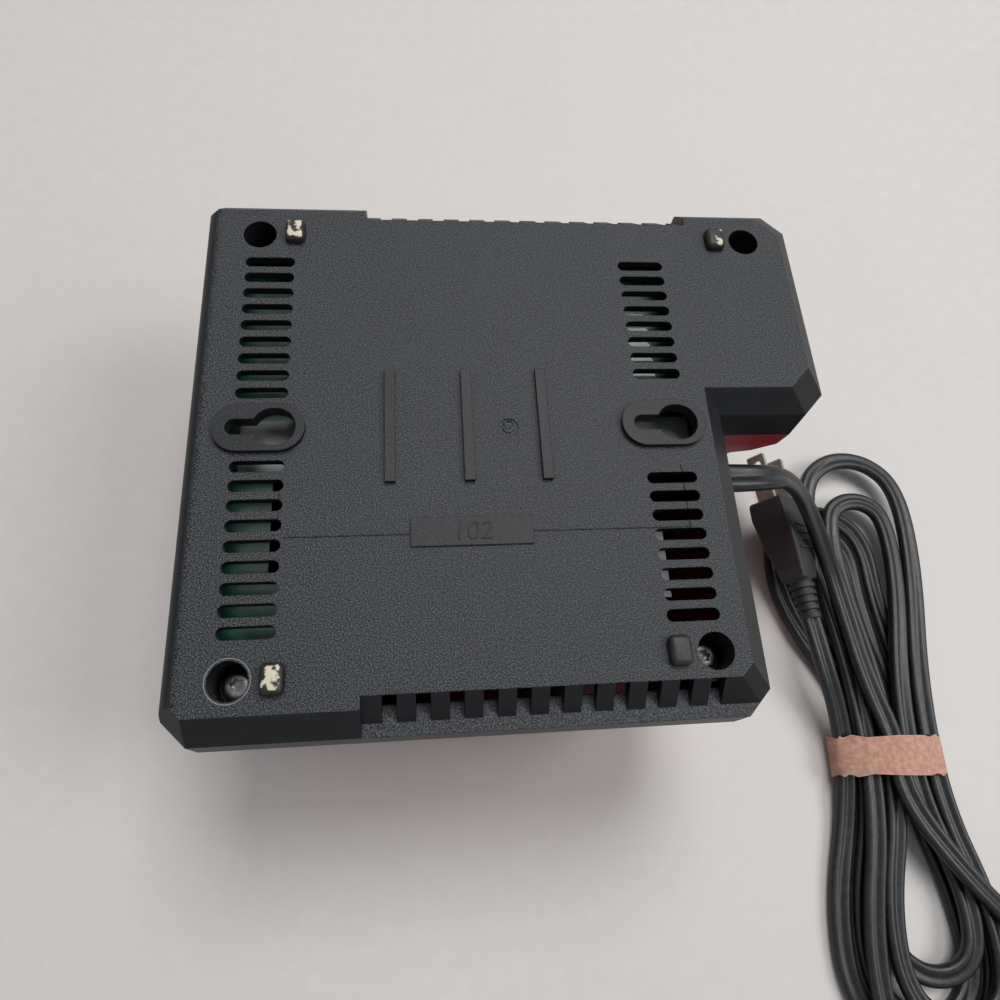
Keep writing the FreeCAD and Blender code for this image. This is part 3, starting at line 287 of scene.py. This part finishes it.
# %% The whole run
exit_point = Vector((0.0576, -0.0070, 0.0585))
plug_way = Vector((-0.083, 0.9966, 0.0)).normalized()
plug_rear = Vector((0.100, -0.028, 0.0154))
sleeve_long = 0.013
sleeve_end = plug_rear - plug_way * sleeve_long

line = [exit_point]
line += [Vector(point) for point in (
    (0.0700, -0.0070, 0.0585), (0.0840, -0.0035, 0.0500), (0.0995, -0.0062, 0.0310),
    (0.1121, -0.0212, 0.0150), (0.1164, -0.0400, 0.0112), (0.1183, -0.0616, 0.0114))]
line += [in_hank(0.005, -column[0], top), in_hank(-0.013, -column[0], top), in_hank(-0.036, 0.012, top)]
line += near_fold(0.0672, high, 2, 1, column[1], enter_level=high + 0.0015)
line += far_fold(high, 1, 0.001, 0.0185, 0.087) + [in_hank(-0.015, column[1], high)]
line += near_fold(0.058, high, 1, 0, column[0])
line += far_fold(high, 0, 0.001, 0.011, 0.078) + [in_hank(-0.013, column[0], high)]
line += near_fold(0.050, low, 0, 0, column[0], enter_level=high)
line += far_fold(low, 0, -0.0130, 0.0105, 0.066) + [in_hank(-0.015, column[0], low)]
line += near_fold(0.058, low, 0, 1, column[1])
line += far_fold(low, 1, -0.0130, 0.0180, 0.067) + [in_hank(-0.015, column[1], low)]
line += near_fold(0.058, low, 1, 2, column[2])
line += [in_hank(0.010, -column[2], high + 0.001), sleeve_end - plug_way * sleeve_long, sleeve_end]
print("control points:", len(line))

# %% The line itself
carrier = curve_through("flat_cord", "NURBS", line)
carrier.data.resolution_u = 8
spline = carrier.data.splines[0]
spline.order_u = 3
spline.use_endpoint_u = True
twist, straight_start, straight_end = math.radians(14), 6, 4
for index, spot in enumerate(spline.points):
    spot.tilt = twist * math.sin(index * 1.1) * (straight_start < index < len(line) - straight_end)
plain = bpy.data.meshes.new_from_object(carrier)
route = [vertex.co.copy() for vertex in plain.vertices]

# %% Sweep the flat section along it
# A quarter of the section is drawn, in millimetres, from its rounded side to the dip between the two cores.
quarter_mm = [(3.20, 0.0), (3.05, 0.85), (2.55, 1.50), (1.80, 1.75), (1.05, 1.58), (0.50, 1.28), (0.0, 1.12)]
quarter = [Vector((x, y, 0.0)) * mm for x, y in quarter_mm]
section_line = quarter + [Vector((-p.x, p.y, 0.0)) for p in reversed(quarter[:-1])]
section_line += [Vector((p.x, -p.y, 0.0)) for p in reversed(section_line[1:-1])]
cord_section = curve_through("cord_section", "POLY", section_line, dimensions="2D")
cord_section.data.splines[0].use_cyclic_u = True
flat_cord = swept(carrier, cord_section, "flat_cord")
print("cord faces:", len(flat_cord.data.polygons))

# %% [markdown]
# Where the cord leaves the housing, a tapered sleeve keeps it from being bent sharply.
# It has the cord's own section, a little larger, and follows the first part of the cord's line.

# %% Bend relief
relief_long, swell, taper = 0.022, 1.34, 0.22
relief_line = [point for point in route if (point - exit_point).length < relief_long]
relief_carrier = curve_through("bend_relief", "POLY", relief_line)
for index, spot in enumerate(relief_carrier.data.splines[0].points):
    spot.radius = swell - taper * index / len(relief_line)
bend_relief = swept(relief_carrier, cord_section, "bend_relief")
bpy.data.objects.remove(cord_section)
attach(bend_relief, "root")

# %% [markdown]
# ## The plug
#
# A moulded plug has a body that widens towards its blades, finger ridges, and a ribbed sleeve that protects the cord.
# It is modelled upright on the Z axis and laid in place at the end, rolled as the photograph shows it.

# %% Plug body
roll = math.radians(35)
plug_place = Matrix.Translation(plug_rear) @ (
    Vector((0, 1, 0)).rotation_difference(plug_way).to_matrix().to_4x4()
    @ Matrix.Rotation(roll, 4, "Y") @ Matrix.Rotation(math.radians(-90), 4, "X"))
height, wide, deep = 0.001, 0.0096, 0.0088
plug_body = box("moulded_plug", (0, 0, height / 2), (wide, deep, height))
bpy.ops.object.mode_set(mode="EDIT")
bpy.ops.mesh.select_all(action="DESELECT")
select_top(plug_body)
for next_height, next_wide, next_deep in (
        (0.0045, 0.0112, 0.0096), (0.0120, 0.0144, 0.0118), (0.0160, 0.0160, 0.0124),
        (0.0225, 0.0190, 0.0131), (0.0272, 0.0186, 0.0127), (0.0288, 0.0180, 0.0121)):
    bpy.ops.mesh.extrude_region_move(TRANSFORM_OT_translate={"value": (0, 0, next_height - height)})
    bpy.ops.transform.resize(value=(next_wide / wide, next_deep / deep, 1), center_override=(0, 0, next_height))
    height, wide, deep = next_height, next_wide, next_deep
face_outwards()
press(plug_body, "BEVEL", width=0.0022, segments=3, limit_method="ANGLE", angle_limit=math.radians(60))

ridge_out, ridge_spread = 0.0057, 0.00018
ridge_start, ridge_pitch = 0.0105, 0.0026
ridge_parts = [plug_body]
for side in (-1, 1):
    for step in range(4):
        place = (0, side * (ridge_out + step * ridge_spread), ridge_start + step * ridge_pitch)
        ridge = box("ridge", place, (0.0088, 0.0010, 0.0009))
        ridge_parts.append(press(ridge, "BEVEL", width=0.0003, segments=2))
plug_body = weld(*ridge_parts)
smooth(plug_body, 35)

# %% Ribbed sleeve
rib_pitch, rib_growth, groove = 0.00245, 0.00022, 0.0006
rib_steps = [(-sleeve_long, 0.0033)]
for step in range(5):
    base = -0.0126 + step * rib_pitch
    rib = 0.0034 + step * rib_growth
    rib_steps += [(base, rib), (base + 0.0013, rib + 0.00005),
                  (base + 0.00145, rib - groove), (base + 0.0022, rib - groove)]
rib_steps += [(0.0, 0.0043), (0.0006, 0.0042)]
plug_sleeve = turned("ribbed_relief", rib_steps, 40)
smooth(plug_sleeve, 50)

# %% Blades
blade_out = 0.00635
blade_list = []
for side in (-1, 1):
    blade = box("blade", (side * blade_out, 0, 0.0375), (0.0015, 0.0062, 0.0168))
    bpy.ops.object.mode_set(mode="EDIT")
    select_top(blade)
    bpy.ops.mesh.bevel(offset=0.0006, segments=2, affect="EDGES")
    bpy.ops.object.mode_set(mode="OBJECT")
    bpy.ops.mesh.primitive_cylinder_add(vertices=24, radius=0.0016, depth=0.006,
                                        location=(side * blade_out, 0, 0.0420), rotation=(0, math.pi / 2, 0))
    cut(blade, settle(christen("drill")))
    blade_list.append(blade)
blades = weld(*blade_list)
blades.name = blades.data.name = "outlet_blades"
for piece in (plug_body, plug_sleeve, blades):
    piece.data.transform(plug_place)
print("plug reaches", [round(value, 4) for value in plug_place @ Vector((0, 0, 0.046))])

# %% [markdown]
# ## The paper tie
#
# A strip of brown paper is wrapped round the waist of the hank and stuck down.
# A circle is pressed into a rounded box round the strands, and its upper side sinks where no strand lies.
# The strip's edges are left a little uneven.

# %% Paper tie
tie_faces, tie_bands, band_wide = 40, 3, 0.004
tie_near, tie_left, tie_right = -0.006, -0.0222, 0.0148
tie_low, tie_high = 0.0004, top + 0.0024
squareness, sag, crown, half_span = 0.35, 0.0042, -0.0037, 0.0185


def squared(value):
    return math.copysign(abs(value) ** squareness, value)


clear()
bpy.ops.mesh.primitive_circle_add(vertices=tie_faces, radius=1, fill_type="NOTHING")
tie = christen("paper_tie")
for vertex in tie.data.vertices:
    angle = math.atan2(vertex.co.y, vertex.co.x)
    wave = 0.0003 * math.sin(5 * angle)
    v = (tie_left + tie_right) / 2 + squared(math.cos(angle)) * (tie_right - tie_left) / 2
    upright = squared(math.sin(angle))
    level = (tie_low + tie_high) / 2 + upright * (tie_high - tie_low) / 2
    if upright > 0:
        level += wave - sag * (abs(v - crown) / half_span) ** 1.5
    vertex.co = in_hank(tie_near, v, max(level, tie_low))
bpy.ops.object.mode_set(mode="EDIT")
bpy.ops.mesh.select_all(action="SELECT")
for _ in range(tie_bands):
    bpy.ops.mesh.extrude_region_move(TRANSFORM_OT_translate={"value": along * band_wide})
bpy.ops.object.mode_set(mode="OBJECT")
for index, vertex in enumerate(tie.data.vertices):
    on_edge = abs((vertex.co - waist).dot(along)) > 0.005
    vertex.co += along * (0.00045 * math.sin(index * 1.7)) * on_edge
press(tie, "SOLIDIFY", thickness=0.0003, offset=0)
bpy.ops.object.mode_set(mode="EDIT")
face_outwards()
smooth(tie, 50)

for piece in (flat_cord, plug_body, plug_sleeve, blades, tie):
    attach(piece, "root")
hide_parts("mains_cord", "cord_hank", "plug_lead")
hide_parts("mains_plug")
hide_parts("plug_sleeve")
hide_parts("plug_blades")
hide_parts("cord_tie")

# %% [markdown]
# ## Feet and screws
#
# Four rubber pads stand 2.5 mm above the plate, with rounded tops.
# A foot is one box with well rounded edges, copied to its four places.
# The screws lie deep in wells, and their six-point recess catches the light.

# %% Feet
foot_pad = box("foot_pad", (0, 0, 0.00075), (0.0053, 0.0070, 0.0035))
press(foot_pad, "BEVEL", width=0.0014, segments=5, limit_method="ANGLE", angle_limit=math.radians(30))
smooth(foot_pad, 60)
foot_places = [(-0.0602, 0.0596), (0.0591, 0.0592), (-0.0602, -0.0603), (0.03105, -0.0582)]
feet = copies(foot_pad, [Matrix.Translation((x, y, plate)) for x, y in foot_places], "foot_pads")
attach(feet, "root")
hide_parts("rubber_feet")

# %% Screws
screw = turned("pan_screw", [
    (0.0000, 0.0009), (0.0012, 0.0019), (0.0178, 0.0019), (0.0180, 0.0037), (0.0196, 0.0037),
    (0.0204, 0.0034), (0.0209, 0.0027), (0.0210, 0.0022)], 36)
clear()
star_points, star_waist = 6, 0.72
bpy.ops.mesh.primitive_cylinder_add(vertices=2 * star_points, radius=0.0018, depth=0.0044, location=(0, 0, 0.0212))
star = settle(christen("star"))
for vertex in star.data.vertices:
    angle = math.atan2(vertex.co.y, vertex.co.x)
    if math.cos(star_points * angle) < 0:
        vertex.co.x *= star_waist
        vertex.co.y *= star_waist
cut(screw, star)
smooth(screw, 30)
screw_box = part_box("housing_screws")
screw_foot = screw_box[0][2]
screw_places = [(-0.0698, 0.0592), (0.0682, 0.0592), (-0.0698, -0.0603), (0.0400, -0.0586)]
screws = copies(screw, [Matrix.Translation((x, y, screw_foot)) @ Matrix.Rotation(0.4 * index, 4, "Z")
                        for index, (x, y) in enumerate(screw_places)], "star_screws")
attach(screws, "root")
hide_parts("housing_screws")
print("screws in", [round(value, 4) for value in screw_box[0]], "feet at", foot_places)

# %% [markdown]
# ## Fine lines on the underside
#
# The moulding has thin raised lines that point from the keyholes to a small plaque, as on a drawing.
# The upright ones stop at each vent slot that they cross.
# The plaque carries only a plain number, the keyholes' spacing in millimetres.

# %% Raised lines
hair, rise = 0.00032, 0.00022
leader_y = -0.0281
between_slots, slot_pitch, first_between = 0.0020, 0.0050, -0.0125


def bar(x, y, long, wide):
    """A thin raised line on the plate, with eased edges."""
    return press(box("line", (x, y, plate + rise / 2), (long, wide, rise)), "BEVEL", width=rise * 0.3, segments=2)


leaders = [bar(-0.04515, leader_y, 0.0295, hair), bar(0.0187, leader_y, 0.0392, hair)]
for x, steps in ((0.0386, range(4)), (-0.0610, (1, 2))):
    leaders += [bar(x, first_between - step * slot_pitch, hair, between_slots) for step in steps]
lines = weld(*leaders)
lines.name = lines.data.name = "raised_lines"

# %% The number
clear()
bpy.ops.object.text_add(location=(-0.0154, -0.0279, plate + 0.0004))
number = christen("spacing_number")
number.data.body = "102"
number.data.size = 0.0066
number.data.align_x = "CENTER"
number.data.align_y = "CENTER"
number.data.extrude = 0.00030
number.data.shear = 0.15
number = settle(as_mesh(number, "spacing_number"))
smooth(number, 30)


# %% A gate mark whose darker ring is painted shade, and a pale ring painted as a highlight round one screw well
def thin_ring(name, place, major, minor, around):
    clear()
    bpy.ops.mesh.primitive_torus_add(location=place, major_radius=major, minor_radius=minor,
                                     major_segments=around, minor_segments=8)
    return settle(christen(name))


# The gate mark's dark ring is painted shade in the groove of its recess.
gate_shade_ring = thin_ring("gate_groove_shade", (-0.0050, 0.0004, plate - 0.0001), 0.0011, 0.00022, 32)
# The pale ring is a painted highlight on the rim of one screw well.
rim_highlight_ring = thin_ring("well_rim_highlight", (*screw_places[2], plate + 0.00002), 0.0049, 0.00016, 48)
smooth(rim_highlight_ring, 80)
for piece, slot in ((lines, "black_plastic"), (number, "black_plastic"), (gate_shade_ring, "black_plastic"),
                    (rim_highlight_ring, "pale_sheet")):
    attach(piece, "root")

# %% [markdown]
# ## Finishes
#
# Effects that several finishes share are node groups, each with named inputs and outputs.
# Grain gives the fine spark-eroded skin of moulded plastic.
# Dust gives soft, pale patches that gather in places.

# %% Small steps in a node tree
def feed(tree, value, socket):
    """Links a socket to another one, or sets it to a plain value."""
    if isinstance(value, bpy.types.NodeSocket):
        tree.links.new(value, socket)
    else:
        socket.default_value = value


def maths(tree, operation, *values, clamp=False):
    node = tree.nodes.new("ShaderNodeMath")
    node.operation = operation
    node.use_clamp = clamp
    for value, socket in zip(values, node.inputs):
        feed(tree, value, socket)
    return node.outputs["Value"]


def stretch(tree, value, low_from, high_from, low_to=0.0, high_to=1.0):
    """Maps one range of a value onto another."""
    node = tree.nodes.new("ShaderNodeMapRange")
    for label, number in (("Value", value), ("From Min", low_from), ("From Max", high_from),
                          ("To Min", low_to), ("To Max", high_to)):
        feed(tree, number, node.inputs[label])
    return node.outputs["Result"]


def mix_colours(tree, name, share, first, second):
    node = tree.nodes.new("ShaderNodeMix")
    node.name = name
    node.data_type = "RGBA"
    for label, value in (("Factor", share), ("A", first), ("B", second)):
        feed(tree, value, node.inputs[label])
    return node.outputs["Result"]


def object_place(tree):
    return tree.nodes.new("ShaderNodeTexCoord").outputs["Object"]


def height_in(tree, vector):
    node = tree.nodes.new("ShaderNodeSeparateXYZ")
    tree.links.new(vector, node.inputs["Vector"])
    return node.outputs["Z"]


# %% Node groups
def new_group(name, inputs, outputs):
    group = bpy.data.node_groups.new(name, "ShaderNodeTree")
    for label, default in inputs:
        socket = group.interface.new_socket(name=label, in_out="INPUT", socket_type="NodeSocketFloat")
        socket.default_value = default
    for label in outputs:
        group.interface.new_socket(name=label, in_out="OUTPUT", socket_type="NodeSocketFloat")
    return group, group.nodes.new("NodeGroupInput").outputs, group.nodes.new("NodeGroupOutput").inputs


def grain_group():
    group, given, result = new_group("Moulded grain", [("Scale", 1500.0), ("Contrast", 0.5)], ["Height", "Speckle"])
    place = object_place(group)
    fine = group.nodes.new("ShaderNodeTexNoise")
    fine.inputs["Detail"].default_value = 2.0
    cells = group.nodes.new("ShaderNodeTexVoronoi")
    for texture in (fine, cells):
        feed(group, place, texture.inputs["Vector"])
        feed(group, given["Scale"], texture.inputs["Scale"])
    speckle = stretch(group, fine.outputs["Fac"], 0.42, 0.74)
    height = maths(group, "MULTIPLY_ADD", cells.outputs["Distance"], given["Contrast"], speckle)
    feed(group, height, result["Height"])
    feed(group, speckle, result["Speckle"])
    return group


def dust_group():
    group, given, result = new_group("Settled dust", [("Scale", 30.0), ("Amount", 0.2)], ["Mask"])
    patches = group.nodes.new("ShaderNodeTexNoise")
    patches.inputs["Detail"].default_value = 6.0
    patches.inputs["Roughness"].default_value = 0.65
    feed(group, object_place(group), patches.inputs["Vector"])
    feed(group, given["Scale"], patches.inputs["Scale"])
    settled = stretch(group, patches.outputs["Fac"], 0.45, 0.8)
    feed(group, maths(group, "MULTIPLY", settled, given["Amount"]), result["Mask"])
    return group


grain = grain_group()
dust = dust_group()


# %% One recipe for a moulded or painted finish
def finish_of(name, dark, light, rough, grain_scale, depth, dusty, metal=0.0, coat=0.0,
              pale=(0.30, 0.29, 0.28), dust_scale=35.0):
    """Two colours mixed by the grain, then by dust, with roughness and bump from the same groups."""
    rough_swing, bump_strength = 0.12, 0.8
    material = bpy.data.materials.new(name)
    material.use_nodes = True
    tree = material.node_tree
    shader = tree.nodes["Principled BSDF"]
    shader.inputs["Metallic"].default_value = metal
    shader.inputs["Coat Weight"].default_value = coat
    skin = tree.nodes.new("ShaderNodeGroup")
    skin.name = "Grain"
    skin.node_tree = grain
    skin.inputs["Scale"].default_value = grain_scale
    film = tree.nodes.new("ShaderNodeGroup")
    film.name = "Dust"
    film.node_tree = dust
    film.inputs["Scale"].default_value = dust_scale
    film.inputs["Amount"].default_value = dusty
    speckle = skin.outputs["Speckle"]
    specks = mix_colours(tree, "Specks", speckle, (*dark, 1), (*light, 1))
    cover = mix_colours(tree, "Cover", film.outputs["Mask"], specks, (*pale, 1))
    feed(tree, cover, shader.inputs["Base Color"])
    feed(tree, maths(tree, "MULTIPLY_ADD", speckle, rough_swing, rough), shader.inputs["Roughness"])
    bump = tree.nodes.new("ShaderNodeBump")
    bump.name = "Relief"
    bump.inputs["Distance"].default_value = depth
    bump.inputs["Strength"].default_value = bump_strength
    feed(tree, skin.outputs["Height"], bump.inputs["Height"])
    feed(tree, bump.outputs["Normal"], shader.inputs["Normal"])
    return material


# %% The finishes by name
# Each row gives the name, the dark and the light colour, the roughness, the grain's scale, the bump's depth
# and the dust, and then what only that finish needs.
finish_rows = {
    "black_plastic": ("Black moulded plastic", (0.016, 0.0165, 0.018), (0.045, 0.046, 0.049),
                      0.42, 1300, 0.00006, 0.05, {}),
    "red_plastic": ("Red moulded plastic", (0.33, 0.018, 0.034), (0.42, 0.028, 0.048),
                    0.34, 900, 0.00001, 0.05, {}),
    "foot_rubber": ("Foot rubber", (0.008, 0.008, 0.009), (0.018, 0.018, 0.019),
                    0.5, 900, 0.00003, 0.03, {}),
    "cord_black": ("Cord sleeve", (0.006, 0.0075, 0.0093), (0.012, 0.015, 0.0185),
                   0.36, 500, 0.00001, 0.02, {}),
    "plug_black": ("Moulded plug", (0.010, 0.0115, 0.012), (0.020, 0.022, 0.023),
                   0.55, 1600, 0.00003, 0.05, {}),
    "tie_paper": ("Brown paper", (0.40, 0.21, 0.15), (0.56, 0.34, 0.25),
                  0.75, 600, 0.00005, 0.3, {"pale": (0.62, 0.45, 0.36), "dust_scale": 120}),
    "steel": ("Blackened steel", (0.20, 0.20, 0.205), (0.34, 0.34, 0.35),
              0.26, 700, 0.00001, 0.1, {"metal": 1.0}),
    "terminal_metal": ("Plated brass", (0.42, 0.39, 0.33), (0.56, 0.52, 0.45),
                       0.42, 400, 0.00001, 0.15, {"metal": 0.85}),
    "board_green": ("Solder mask", (0.002, 0.035, 0.020), (0.006, 0.085, 0.050),
                    0.30, 160, 0.00002, 0.1, {"coat": 0.4}),
    "pale_sheet": ("Insulating sheet", (0.15, 0.16, 0.165), (0.22, 0.23, 0.235),
                   0.45, 300, 0.00001, 0.2, {}),
    "ferrite": ("Sintered ferrite", (0.035, 0.035, 0.038), (0.075, 0.075, 0.08),
                0.55, 800, 0.00002, 0.1, {}),
    "winding_tape": ("Polyester tape", (0.62, 0.42, 0.05), (0.78, 0.58, 0.10),
                     0.28, 200, 0.00001, 0.1, {"coat": 0.3}),
    "winding_copper": ("Enamelled copper", (0.42, 0.13, 0.04), (0.62, 0.24, 0.09),
                       0.25, 900, 0.00002, 0.1, {"metal": 1.0}),
    "can_sleeve": ("Shrunk sleeve", (0.012, 0.016, 0.04), (0.03, 0.038, 0.08),
                   0.25, 200, 0.00001, 0.1, {"coat": 0.3}),
    "film_box": ("Potted box", (0.50, 0.33, 0.03), (0.66, 0.46, 0.07),
                 0.35, 300, 0.00001, 0.1, {}),
    "chip_black": ("Epoxy", (0.012, 0.012, 0.013), (0.03, 0.03, 0.032),
                   0.4, 1200, 0.00002, 0.1, {}),
    "aluminium": ("Plain aluminium", (0.13, 0.14, 0.145), (0.20, 0.21, 0.215),
                  0.5, 600, 0.00001, 0.1, {"metal": 1.0}),
    "lead_wire": ("Wire sleeve", (0.30, 0.012, 0.012), (0.42, 0.03, 0.025),
                  0.35, 400, 0.00001, 0.1, {}),
}
finishes = {slot: finish_of(*row[:-1], **row[-1]) for slot, row in finish_rows.items()}


def clear_finish(name, tint, rough):
    material = finish_of(name, tint, tint, rough, 300, 0.00001, 0.04)
    shader = material.node_tree.nodes["Principled BSDF"]
    shader.inputs["Transmission Weight"].default_value = 0.85
    shader.inputs["IOR"].default_value = 1.49
    return material


# %% [markdown]
# The underside's black plastic needs more.
# Its flat faces are spark-eroded, so they sparkle, and their pale speckle also carries a painted sheen, while the
# slanted and upright faces left the mould smoother and keep the dark colour as painted shade.
# The surface's own normal tells them apart, and what stands above the plate sparkles less.
# A Bevel node rounds every sharp edge so that it catches a thin line of light.

# %% Rounded edges in the shading
def round_edges(material, radius):
    """Feeds a Bevel node into the finish's bump, so that sharp edges look moulded."""
    tree = material.node_tree
    rounded = tree.nodes.new("ShaderNodeBevel")
    rounded.samples = 4
    rounded.inputs["Radius"].default_value = radius
    feed(tree, rounded.outputs["Normal"], tree.nodes["Relief"].inputs["Normal"])
    return material


round_edges(finishes["red_plastic"], 0.0009)


# %% The housing's black skin, with painted sheen on flat faces and painted shade on slanted ones
def housing_skin_painted_sheen():
    # The light speckle colour is brighter than the plastic's own grain: it is partly a painted sheen.
    material = finish_of("Black housing skin with painted sheen", (0.0050, 0.0058, 0.0072), (0.120, 0.131, 0.146),
                         0.44, 2900, 0.00008, 0.04, pale=(0.10, 0.12, 0.13))
    tree = material.node_tree
    surface = tree.nodes.new("ShaderNodeNewGeometry")
    # The normal mask is partly the real grain of the flat faces and partly painted light: painted sheen on flat
    # faces, painted shade on slanted and upright ones.
    flat = stretch(tree, height_in(tree, surface.outputs["True Normal"]), 0.90, 0.99, low_to=0.05)
    above = stretch(tree, height_in(tree, object_place(tree)), plate + 0.0002, plate + 0.0004,
                    low_to=1.0, high_to=0.35)
    sparkle_with_painted_sheen = maths(tree, "MULTIPLY", flat, above)
    speckle_with_painted_sheen = maths(tree, "MULTIPLY", tree.nodes["Grain"].outputs["Speckle"], sparkle_with_painted_sheen)
    feed(tree, speckle_with_painted_sheen, tree.nodes["Specks"].inputs["Factor"])
    feed(tree, sparkle_with_painted_sheen, tree.nodes["Relief"].inputs["Strength"])
    tree.nodes["Principled BSDF"].inputs["Specular IOR Level"].default_value = 0.28
    return round_edges(material, 0.00035)


finishes["housing_skin_painted_sheen"] = housing_skin_painted_sheen()
finishes["lens_clear"] = clear_finish("Clear lens", (0.80, 0.84, 0.82), 0.12)
finishes["fuse_glass"] = clear_finish("Fuse glass", (0.82, 0.84, 0.84), 0.05)

# %% [markdown]
# Three of the feet get a painted highlight: their tips are painted a pale cream where light glints on the rubber.
# The mask is the foot's height above the plate, broken up by noise.

# %% Feet with painted tip highlights
def scuffed_rubber():
    # The pale cream patch on each tip is a painted highlight, placed by height.
    highlight_from, highlight_to, raggedness = 0.08352, 0.08366, 0.0022
    highlight_cream = (0.62, 0.56, 0.42, 1)
    material = finish_of("Foot rubber with painted tip highlight", *finish_rows["foot_rubber"][1:-1])
    tree = material.node_tree
    base_colour = tree.nodes["Principled BSDF"].inputs["Base Color"]
    place = object_place(tree)
    ragged = tree.nodes.new("ShaderNodeTexNoise")
    ragged.inputs["Scale"].default_value = 420
    ragged.inputs["Detail"].default_value = 3
    feed(tree, place, ragged.inputs["Vector"])
    lifted = maths(tree, "MULTIPLY_ADD", ragged.outputs["Fac"], raggedness, height_in(tree, place))
    tip_highlight = stretch(tree, lifted, highlight_from, highlight_to)
    feed(tree, mix_colours(tree, "Tip", tip_highlight, base_colour.links[0].from_socket, highlight_cream), base_colour)
    return material


finishes["scuffed_rubber"] = scuffed_rubber()
print("finishes:", len(finishes))

# %% Put a finish on every node and piece
def dress(piece, material):
    piece.data.materials.clear()
    piece.data.materials.append(material)


slots = {entry["node"]: entry["material_slot"] for entry in frame["record"]["subparts"]}
for node, item in frame["nodes"].items():
    dress(item, finishes["housing_skin_painted_sheen" if node == "lower_housing" else slots[node]])
for piece, finish in ((flat_cord, "cord_black"), (plug_body, "plug_black"), (plug_sleeve, "plug_black"),
                      (blades, "terminal_metal"), (tie, "tie_paper"), (feet, "foot_rubber"), (screws, "steel"),
                      (bend_relief, "cord_black"), (lines, "housing_skin_painted_sheen"), (number, "housing_skin_painted_sheen"),
                      (gate_shade_ring, "cord_black"), (rim_highlight_ring, "pale_sheet")):
    dress(piece, finishes[finish])
# Three feet get the painted tip highlight; the near right foot keeps plain rubber.
feet.data.materials.append(finishes["scuffed_rubber"])
for face in feet.data.polygons:
    on_foot_without_highlight = face.center.x > 0 and face.center.y < 0
    face.material_index = 0 if on_foot_without_highlight else 1

# %% [markdown]
# ## Floor and light
#
# The charger lies on a pale, slightly stained sheet of board, in soft daylight from the far side.
# The lamps are large, so that no edge of a shadow is sharp.

# %% Floor
clear()
bpy.ops.mesh.primitive_plane_add(size=8.0, location=(0, 0, 0))
floor = christen("floor")
dress(floor, finish_of("Pale board", (0.595, 0.58, 0.565), (0.615, 0.60, 0.585),
                       0.5, 180, 0.000004, 0.3, pale=(0.53, 0.50, 0.475), dust_scale=7))

# %% [markdown]
# The room is dim for the light that falls on things, and pale where the camera looks straight into it.
# Mirrored rays see a little of the pale room, and rays through clear plastic see all of it.

# %% Room
world = bpy.data.worlds.new("soft_room")
bpy.context.scene.world = world
world.use_nodes = True
sky = world.node_tree
room = sky.nodes["Background"]
room.inputs["Color"].default_value = (0.92, 0.95, 1.0, 1)
room.inputs["Strength"].default_value = 0.28
pale_room = sky.nodes.new("ShaderNodeBackground")
pale_room.inputs["Color"].default_value = (0.80, 0.79, 0.77, 1)
ray = sky.nodes.new("ShaderNodeLightPath").outputs
mirrored_share = 0.3
seen = maths(sky, "MULTIPLY_ADD", ray["Is Glossy Ray"], mirrored_share, ray["Is Camera Ray"], clamp=True)
choose = sky.nodes.new("ShaderNodeMixShader")
feed(sky, maths(sky, "MAXIMUM", seen, ray["Is Transmission Ray"]), choose.inputs["Fac"])
feed(sky, room.outputs["Background"], choose.inputs[1])
feed(sky, pale_room.outputs["Background"], choose.inputs[2])
feed(sky, choose.outputs["Shader"], sky.nodes["World Output"].inputs["Surface"])


# %% Lamps
def lamp(name, place, aim, size, power, colour):
    bpy.ops.object.light_add(type="AREA", location=place)
    light = christen(name)
    light.data.shape = "DISK"
    light.data.size = size
    light.data.energy = power
    light.data.color = colour
    light.rotation_euler = (Vector(aim) - Vector(place)).to_track_quat("-Z", "Y").to_euler()


lamp("window", (0.35, 1.05, 2.3), aim=(0, 0, 0.05), size=1.3, power=38, colour=(1.0, 0.985, 0.97))
lamp("side_window", (1.2, -0.1, 1.3), aim=(0, 0, 0.0), size=0.9, power=12, colour=(1.0, 0.975, 0.955))
